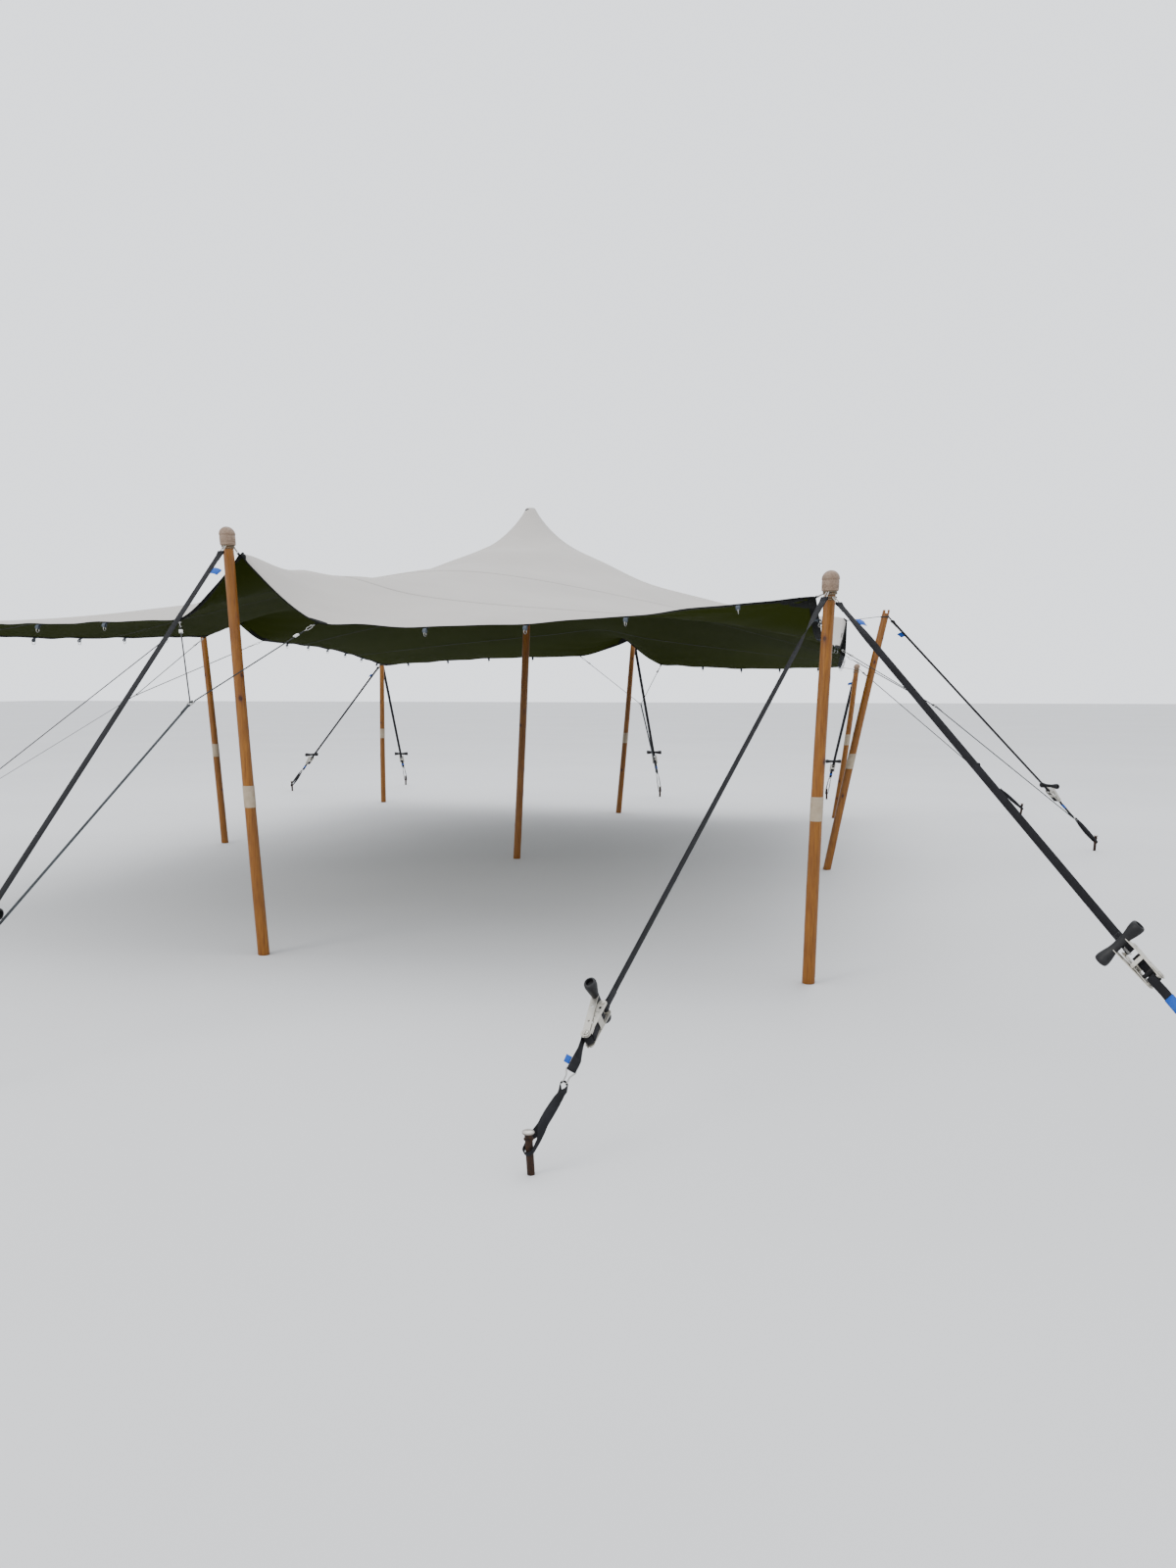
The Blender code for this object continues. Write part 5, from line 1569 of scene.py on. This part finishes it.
def make_handle_pattern():
    """The ratchet's handle round the spindle, shut: drilled plates, release bar and spring, winged grip."""
    inner = RATCHET_INNER / 2 + RATCHET_PLATE + HANDLE_SIDE_GAP
    grip_x = -math.hypot(HANDLE_LENGTH, HANDLE_RISE)
    holes = ((0.0, SPINDLE_RADIUS + 0.0016), (-0.050, 0.0042), (-0.115, 0.0042))
    parts = []
    for side in (-1, 1):
        y = side * (inner + RATCHET_PLATE / 2)
        parts.append(rounded_bar("handle_plate", grip_x - 0.004, 0.0155, y, HANDLE_PLATE_HEIGHT, holes))
    bar = block("release_bar", (0.010, 2 * inner, 0.0020), (-0.080, 0.0, 0.0))
    with editing(bar):
        select(bar, "FACE", lambda f: f.normal.x < -0.5)
        bpy.ops.mesh.inset(thickness=0.0002)
        extrude((-0.005, 0.0, 0.0))
        bpy.ops.transform.resize(value=(1.0, 0.70, 1.0), center_override=(-0.09, 0.0, 0.0))
    parts.append(surfaced(bar, PLATED))
    coil = []
    for k in range(12 * SPRING_TURNS + 1):
        turn = 2 * math.pi * k / 12
        coil.append((-0.112 - 0.034 * k / (12 * SPRING_TURNS), SPRING_RADIUS * math.cos(turn),
                     SPRING_RADIUS * math.sin(turn)))
    parts.append(wire("release_spring", coil, 0.0008, WIRE, sides=6))
    half = GRIP_SPAN / 2
    wings = ((half, 0.040, 0.036), (half - 0.002, 0.047, 0.042), (half - 0.008, 0.052, 0.046),
             (half - 0.020, 0.052, 0.045), (half - 0.034, 0.048, 0.039), (half - 0.050, 0.041, 0.032),
             (half - 0.062, 0.036, 0.027), (half - 0.080, 0.033, 0.024))
    sections = [(-at, w, h) for at, w, h in wings] + [(at, w, h) for at, w, h in reversed(wings)]
    grip = loft("grip", sections, GRIP_PLASTIC)
    grip.data.transform(Matrix.Translation((grip_x, 0.0, 0.0)))
    parts.append(grip)
    obj = joined("handle_pattern", parts)
    obj.data.transform(Matrix.Rotation(math.atan2(HANDLE_RISE, HANDLE_LENGTH), 4, "Y"))
    return obj


# Guys


def hook_path():
    """Both arms of the wire hook, from tip to tip round the bar that the webbing is sewn on."""
    shank = ((-0.006, 0.007), (-0.012, 0.009), (-0.026, 0.0155), (-0.031, 0.0175), (-0.0335, 0.0165),
             (-0.034, 0.013), (-0.034, 0.005))
    arm = arc((0.008, 0.007, 0.010), 0.010, 100, -90, 10, UPRIGHT) + [Vector((x, y, 0.0)) for x, y in shank]
    return arm + [Vector((p.x, -p.y, p.z)) for p in reversed(arm)]


def eye(centre, radius, first, last):
    """Part of the turn that webbing makes round a bar or rope across the guy."""
    return arc((centre, 0.0, 0.0), radius, first, last, 8, UPRIGHT)


def strap(name, shape, path, across, width, thickness, material, looped=False):
    """Webbing along the guy that rolls over with it."""
    sides = [Matrix.Rotation(shape.roll_at(Vector(p).x), 3, "X") @ Vector(across) for p in path]
    return ribbon(name, shape.twisted(path), sides, width, thickness, material, looped)


def upper_strap_path(shape):
    """From its sewn lap at the pole's rope, round the rope, down to the bolt and round it to a second lap."""
    top, bolt = HANGER_LENGTH, shape.bolt
    path = [(top + 0.075, 0, -LAP), (top + 0.025, 0, -LAP), (top + 0.011, 0, -0.0052)]
    path += eye(top, 0.0062, -80, -280)
    path += [(top + 0.013, 0, 0.0035), (top + 0.028, 0, 0.0004)]
    path += straight((top + 0.04, 0, 0), (bolt - 0.04, 0, 0), 48)
    path += [(bolt - 0.024, 0, 0.0010), (bolt - 0.013, 0, 0.0050)]
    path += eye(bolt, BOLT_RADIUS + WEB_THICKNESS / 2 + 0.0003, 80, -80)
    return path + [(bolt - 0.013, 0, -0.0060), (bolt - 0.026, 0, -LAP), (bolt - 0.085, 0, -LAP)]


def lower_run(shape):
    """The straight run of the lower webbing, from off the spindle to near the hook."""
    return Vector((shape.spindle + 0.055, 0, 0.0070)), Vector((shape.hook - 0.056, 0, 0.0012))


def lower_strap_path(shape):
    """Wound on the spindle, then down to the hook's bar and round it to its sewn lap."""
    turns, steps = 2.4, 16
    bar = shape.hook - 0.034
    path = []
    for k in range(int(turns * steps), -1, -1):
        angle = math.pi / 2 + 2 * math.pi * k / steps
        radius = ROLL_RADIUS - (WEB_THICKNESS + 0.0001) * k / steps
        path.append((shape.spindle + radius * math.cos(angle), 0.0, radius * math.sin(angle)))
    path += [(shape.spindle + 0.012, 0, 0.0160), (shape.spindle + 0.030, 0, 0.0122)]
    path += straight(*lower_run(shape), 6)
    path += [(bar - 0.010, 0, 0.0036), *eye(bar, 0.0044, 80, -80), (bar - 0.010, 0, -0.0040)]
    return path + [(bar - 0.022, 0, 0.0012 - LAP), (bar - 0.050, 0, 0.0030 - LAP)]


def tail_path(shape):
    """The webbing's free end, off the underside of the roll and up the frame's floor to the bolt."""
    places = ((-0.004, -0.0182), (-0.022, -0.0170), (-0.040, -0.0135), (-0.060, -0.0116), (-0.088, -0.0110),
              (-0.104, -0.0090), (-0.112, -0.0088))
    return [(shape.spindle + x, 0.0, z) for x, z in places]


def sling(shape):
    """The loop of webbing from the hook's arms round the stake, narrow where it is held."""
    near_radius, far_radius = 0.0128, 0.0177
    near = Vector((shape.hook + 0.0105 + near_radius, 0.0, 0.010))
    stake = Vector((shape.sling_end - 0.0035 - far_radius, 0.0, 0.0))
    swell = ((0.08, 0.017, 0.0135, 0.009), (0.16, 0.024, 0.0140, 0.008), (0.25, 0.030, 0.0150, 0.006),
             (0.38, 0.033, 0.0160, 0.004), (0.50, 0.034, 0.0172, 0.002), (0.62, 0.033, 0.0178, 0.001),
             (0.75, 0.029, 0.0185, 0.0005), (0.86, 0.023, 0.0185, 0.0))
    leg = [((near.x + (stake.x - near.x) * t, y, z), height) for t, height, y, z in swell]
    spots = [(point, 0.013) for point in arc(near, near_radius, 90, 270, 10)]
    spots += [((x, -y, z), height) for (x, y, z), height in leg]
    spots += [(point, 0.019) for point in arc(stake, far_radius, -90, 90, 12)] + leg[::-1]
    path, heights = (list(values) for values in zip(*spots))
    return strap("sling", shape, path, (0, 0, 1), heights, SLING_THICKNESS, WEBBING, looped=True)


def sewn_lines(shape, low, high, width, z):
    """A box and cross of raised stitching over a lap of webbing."""
    half = width / 2
    corners = [(low, -half, z), (high, -half, z), (high, half, z), (low, half, z)]
    lines = []
    for a, b in ((0, 1), (1, 2), (2, 3), (3, 0), (0, 2), (1, 3)):
        path = shape.twisted(straight(corners[a], corners[b], 4))
        lines.append(rope("stitching", path, 0.0006, STITCH, sides=4))
    return lines


def make_guy_webbing(guy, shape):
    """All the black webbing of one guy: upper strap, wound lower strap, tail and sling, stitched."""
    parts = []
    for name, path, width in (
        ("upper", upper_strap_path(shape), WEB_WIDTH),
        ("lower", lower_strap_path(shape), WEB_WIDTH - 0.001),
        ("tail", tail_path(shape), WEB_WIDTH - 0.001),
    ):
        parts.append(strap(name, shape, path, (0, 1, 0), width, WEB_THICKNESS, WEBBING))
    parts.append(sling(shape))
    laps = ((HANGER_LENGTH + 0.030, HANGER_LENGTH + 0.068), (shape.bolt - 0.078, shape.bolt - 0.036))
    for low, high in laps:
        parts += sewn_lines(shape, low, high, WEB_WIDTH - 0.010, WEB_THICKNESS / 2 + 0.0002)
    obj = joined(named(guy, "webbing"), parts)
    obj.data.transform(shape.matrix)
    return finished(obj, "guy_webbing", guy.name)


def make_guy_ropes(guy, shape):
    """The rope round the pole's top, the doubled loop that carries the webbing, and the tie to the canopy."""
    white = guy.pole in WHITE_ROPED
    cord, turn_cord = (WHITE_ROPE, TAN_ROPE) if white else (DARK_ROPE, DARK_ROPE)
    radius = shape.ring_radius - RING_TUBE + POLE_ROPE_RADIUS
    parts = []
    for turn in range(2):
        tilt = 0.003 * (1 - 2 * turn)
        level = shape.ring_centre - UP * (2.1 * POLE_ROPE_RADIUS * turn)
        loop = circle(level, radius, 32)
        loop = [p + UP * tilt * (p - level).dot(shape.level) / shape.ring_radius for p in loop]
        parts.append(rope("pole_turn", loop, POLE_ROPE_RADIUS, turn_cord, looped=True))
    end = HANGER_LENGTH
    path = arc((end - 0.0045, 0, 0), 0.0072, -90, 90, 8)
    path += straight((end * 0.72, 0.0080, 0.0004), (0.012, 0.0055, 0.0006), 4)
    path += arc((-0.001, 0, 0), 0.0058, 90, 270, 6)
    path += straight((0.012, -0.0055, -0.0004), (end * 0.72, -0.0080, -0.0004), 4)
    hanger = rope("hanger", path, 0.0030, cord, looped=True)
    hanger.data.transform(shape.matrix)
    parts.append(hanger)
    if guy.level == 0:
        parts += canopy_tie(guy, shape, cord)
    return finished(joined(named(guy, "rope"), parts), "bridle_rope")


def place_of(guy):
    """Where on the canopy's rim a guy's pole holds it, as distances from the peak."""
    words = guy.pole.split("_")
    s = sum(ACROSS[end] for word, end in (("left", 0), ("right", -1)) if word in words)
    t = sum(LENGTHWISE[end] for word, end in (("front", 0), ("back", -1)) if word in words)
    return s, t


def canopy_tie(guy, shape, cord):
    """The canopy's tab and ring, and two strands of rope from them to the pole's rope."""
    rim = rim_frame(*place_of(guy))
    point = rim @ TAB_FOLD
    level = Vector((point.x - shape.ring_centre.x, point.y - shape.ring_centre.y, 0.0)).normalized()
    begin = shape.ring_centre + level * shape.ring_radius
    way = (begin - point).normalized()
    length = (begin - point).length
    eye_place = min(TIE_EYE, length * 0.3)
    tab, ring = tie_tab(rim, way, eye_place)
    reach = length - eye_place - 2 * TIE_RING_RADIUS + 0.0045
    path = arc((reach - 0.0050, 0, 0), 0.0048, -90, 90, 6)
    path += straight((reach * 0.6, 0.0046, 0.0), (0.006, 0.0046, 0.0), 2)
    path += arc((0.0, 0, 0), 0.0046, 90, 270, 6)
    path += straight((0.006, -0.0046, 0.0), (reach * 0.6, -0.0046, 0.0), 2)
    strands = rope("tie", path, 0.0024, cord, looped=True)
    strands.data.transform(frame_matrix(begin, -way, UP.cross(-way)))
    return [strands, tab, ring]


def hanging_tag(name, shape, x, length, width, droop):
    """A short tag of folded tape, sewn to one edge of the webbing and bent by its own weight."""
    bends = ((0.0, 0.0, 0.0), (0.08, 0.35, 0.08), (0.25, 0.70, 0.42), (0.50, 1.0, 1.0))
    path = [(x + droop * on, WEB_WIDTH / 2 + length * out, -droop * down) for on, out, down in bends]
    return ribbon(name, shape.twisted(path), (1, 0, 0), width, 0.0013, BLUE_TAG)


def make_tags(guy, shape):
    """Plain blue tags: a sleeve or a tag on the lower webbing, and a small one near the pole."""
    parts = []
    if guy.tail < 0.19:
        parts.append(hanging_tag("tag", shape, shape.spindle + 0.108, 0.021, 0.030, 0.002))
    else:
        low, high = lower_run(shape)
        ends = [low.lerp(high, (x - low.x + shape.spindle) / (high.x - low.x)) for x in (0.084, 0.140)]
        path, width = straight(*ends, 3), WEB_WIDTH + 0.0034
        parts.append(strap("sleeve", shape, path, (0, 1, 0), width, 0.0062, BLUE_TAG))
    if guy.level == sum(other.pole == guy.pole for other in GUYS) - 1:
        parts.append(hanging_tag("upper_tag", shape, HANGER_LENGTH + 0.170, 0.042, 0.052, 0.012))
    obj = joined(named(guy, "tags"), parts)
    obj.data.transform(shape.matrix)
    return finished(obj, "guy_webbing")


def make_guys():
    ratchet = make_ratchet_pattern()
    handle = make_handle_pattern()
    hook = wire("hook_pattern", hook_path(), 0.0027, WIRE, sides=10)
    for guy in GUYS:
        shape = GUY_SHAPES[guy.name]
        make_guy_webbing(guy, shape)
        make_guy_ropes(guy, shape)
        make_tags(guy, shape)
        finished(stamp(ratchet, shape.rolled(shape.spindle), named(guy, "ratchet")), "steel")
        finished(stamp(hook, shape.rolled(shape.hook), named(guy, "hook")), "steel")
        lever = stamp(handle, shape.rolled(shape.spindle), named(guy, "handle"))
        if guy.hinged:
            moving = named(guy, "ratchet_handle")
            finished(lever, "handle_plastic", moving, body=moving + "_body")
        else:
            finished(lever, "handle_plastic")
    discard(ratchet, handle, hook)


# Bridles


def snap_path():
    """A snap hook's long loop, open at its gate, its bow at the origin."""
    path = arc((0.0, 0, 0), 0.0075, 150, -90, 10)
    path += straight((-0.010, -0.0074, 0), (-0.026, -0.0068, 0), 3)
    path += arc((-0.029, 0, 0), 0.0066, -90, -270, 8)
    return path + [Vector((-0.024, 0.0066, 0)), Vector((-0.017, 0.0064, 0.0))]


def make_snap_pattern():
    """A small snap hook with its gate, swivel and eye."""
    snap = joined("snap_pattern", [
        wire("snap_body", snap_path(), 0.0021, WIRE),
        wire("snap_gate", straight((-0.016, 0.0062, 0), (-0.0075, 0.0064, 0), 2), 0.0015, WIRE),
        wire("snap_eye", circle((-0.045, 0, 0), 0.0056, 16, UPRIGHT), 0.0017, WIRE, looped=True),
        wire("snap_swivel", straight((-0.0400, 0, 0), (-0.0345, 0, 0), 2), 0.0034, WIRE, sides=10),
    ])
    snap.data.transform(Matrix.Rotation(math.pi / 2, 4, "X"))
    return snap


def make_toggle_pattern():
    """A flat white toggle with a dished face."""
    toggle = block("toggle_pattern", (0.030, 0.022, 0.012))
    with editing(toggle):
        bpy.ops.mesh.select_all(action="SELECT")
        bpy.ops.mesh.bevel(offset=0.003, segments=3)
        select(toggle, "FACE", lambda f: abs(f.normal.z) > 0.99)
        bpy.ops.mesh.inset(thickness=0.003, depth=-0.0012)
    return surfaced(toggle, WHITE_PLASTIC)


def bridle_strap(guy, knot):
    """Grey webbing from the bridle's ring to the guy's hook, lapped round both."""
    eye_x = guy.hook - 0.014
    radius = 0.0027 + 0.0011 + 0.0004
    end = guy.at(eye_x - 0.002, 0.0, -radius)
    way = (end - knot).normalized()
    side = UP.cross(way)
    flat = way.cross(side).normalized()
    path = [knot + way * 0.085 + flat * 0.0026, knot + way * (BRIDLE_RING_RADIUS + 0.012) + flat * 0.0030]
    path += arc(knot + way * BRIDLE_RING_RADIUS, 0.0046, 70, 290, 8, (way, flat))
    path += straight(knot + way * (BRIDLE_RING_RADIUS + 0.016), end, 12)
    turn = [guy.matrix @ p for p in arc((eye_x, 0, 0), radius, -60, 90, 5, UPRIGHT)]
    turn += [guy.at(eye_x - 0.010, 0.0, radius + 0.0002), guy.at(eye_x - 0.020, 0.0, radius + 0.0008)]
    sides = [side] * len(path) + [guy.matrix.col[1].to_3d()] * len(turn)
    return ribbon("strap", path + turn, sides, BRIDLE_STRAP_WIDTH, 0.0022, GREY_WEBBING)


def bridle_line(knot, place, snap, toggle):
    """One of a bridle's two ropes: cord, whipping, tab with its ring, snap hook and toggle."""
    rim = rim_frame(*place)
    tie = rim @ TAB_FOLD
    way = (tie - knot).normalized()
    tab, tab_ring = tie_tab(rim, -way, TIE_EYE)
    clip_x = (tie - knot).length - TIE_EYE - 2 * TIE_RING_RADIUS - 0.0035
    line = arc((BRIDLE_RING_RADIUS, 0, 0), 0.0062, 60, 298, 7, UPRIGHT)
    line += straight((BRIDLE_RING_RADIUS + 0.016, 0, -0.001), (clip_x - 0.058, 0, 0), 24)
    line += arc((clip_x - 0.0505, 0.0, 0.0), 0.0050, 180, 0, 6)
    winding = [(clip_x - 0.062 - 0.0011 * k, 0.0044 * math.cos(k * 0.9), 0.0044 * math.sin(k * 0.9))
               for k in range(32)]
    cord = rope("line", line, BRIDLE_ROPE_RADIUS, DARK_ROPE, sides=6)
    whipping = rope("whipping", winding, 0.0014, DARK_ROPE, sides=5)
    clip = stamp(snap, Matrix.Translation((clip_x, 0, 0)), "clip")
    slider = stamp(toggle, Matrix.Translation((clip_x - 0.110, 0, 0.0028)), "toggle")
    for part in (cord, whipping, clip, slider):
        part.data.transform(frame_matrix(knot, way, UP.cross(way)))
    return [cord, whipping, tab], [clip, tab_ring], slider


def make_bridles():
    snap, toggle = make_snap_pattern(), make_toggle_pattern()
    for bridle in BRIDLES:
        guy = GUY_SHAPES[bridle.guy]
        knot = Vector(bridle.hook)
        down = guy.at(guy.hook - 0.016) - knot
        ring = wire("ring", circle((0, 0, 0), BRIDLE_RING_RADIUS, 24), 0.0032, WIRE, looped=True)
        ring.data.transform(frame_matrix(knot, down, UP.cross(down)))
        soft, metal, toggles = [bridle_strap(guy, knot)], [ring], []
        for place in low_ties(bridle.edge):
            ropes, rings, slider = bridle_line(knot, place, snap, toggle)
            soft += ropes
            metal += rings
            toggles.append(slider)
        finished(joined("lines_" + bridle.edge, soft), "bridle_rope", bridle.name)
        finished(joined("snaps_" + bridle.edge, metal), "steel")
        finished(joined("toggles_" + bridle.edge, toggles), "handle_plastic")
    discard(snap, toggle)


make_camera()
make_floor()
make_light()
FABRIC = finished(make_fabric(), "canopy_fabric", "canopy")
RIM_PIECES = [finished(make(), "canopy_fabric") for make in (make_hem, make_seams, make_patches)]
for piece, slot in zip(make_tabs(), ("guy_webbing", "steel")):
    RIM_PIECES.append(finished(piece, slot))
make_poles()
make_stakes()
make_guys()
make_bridles()
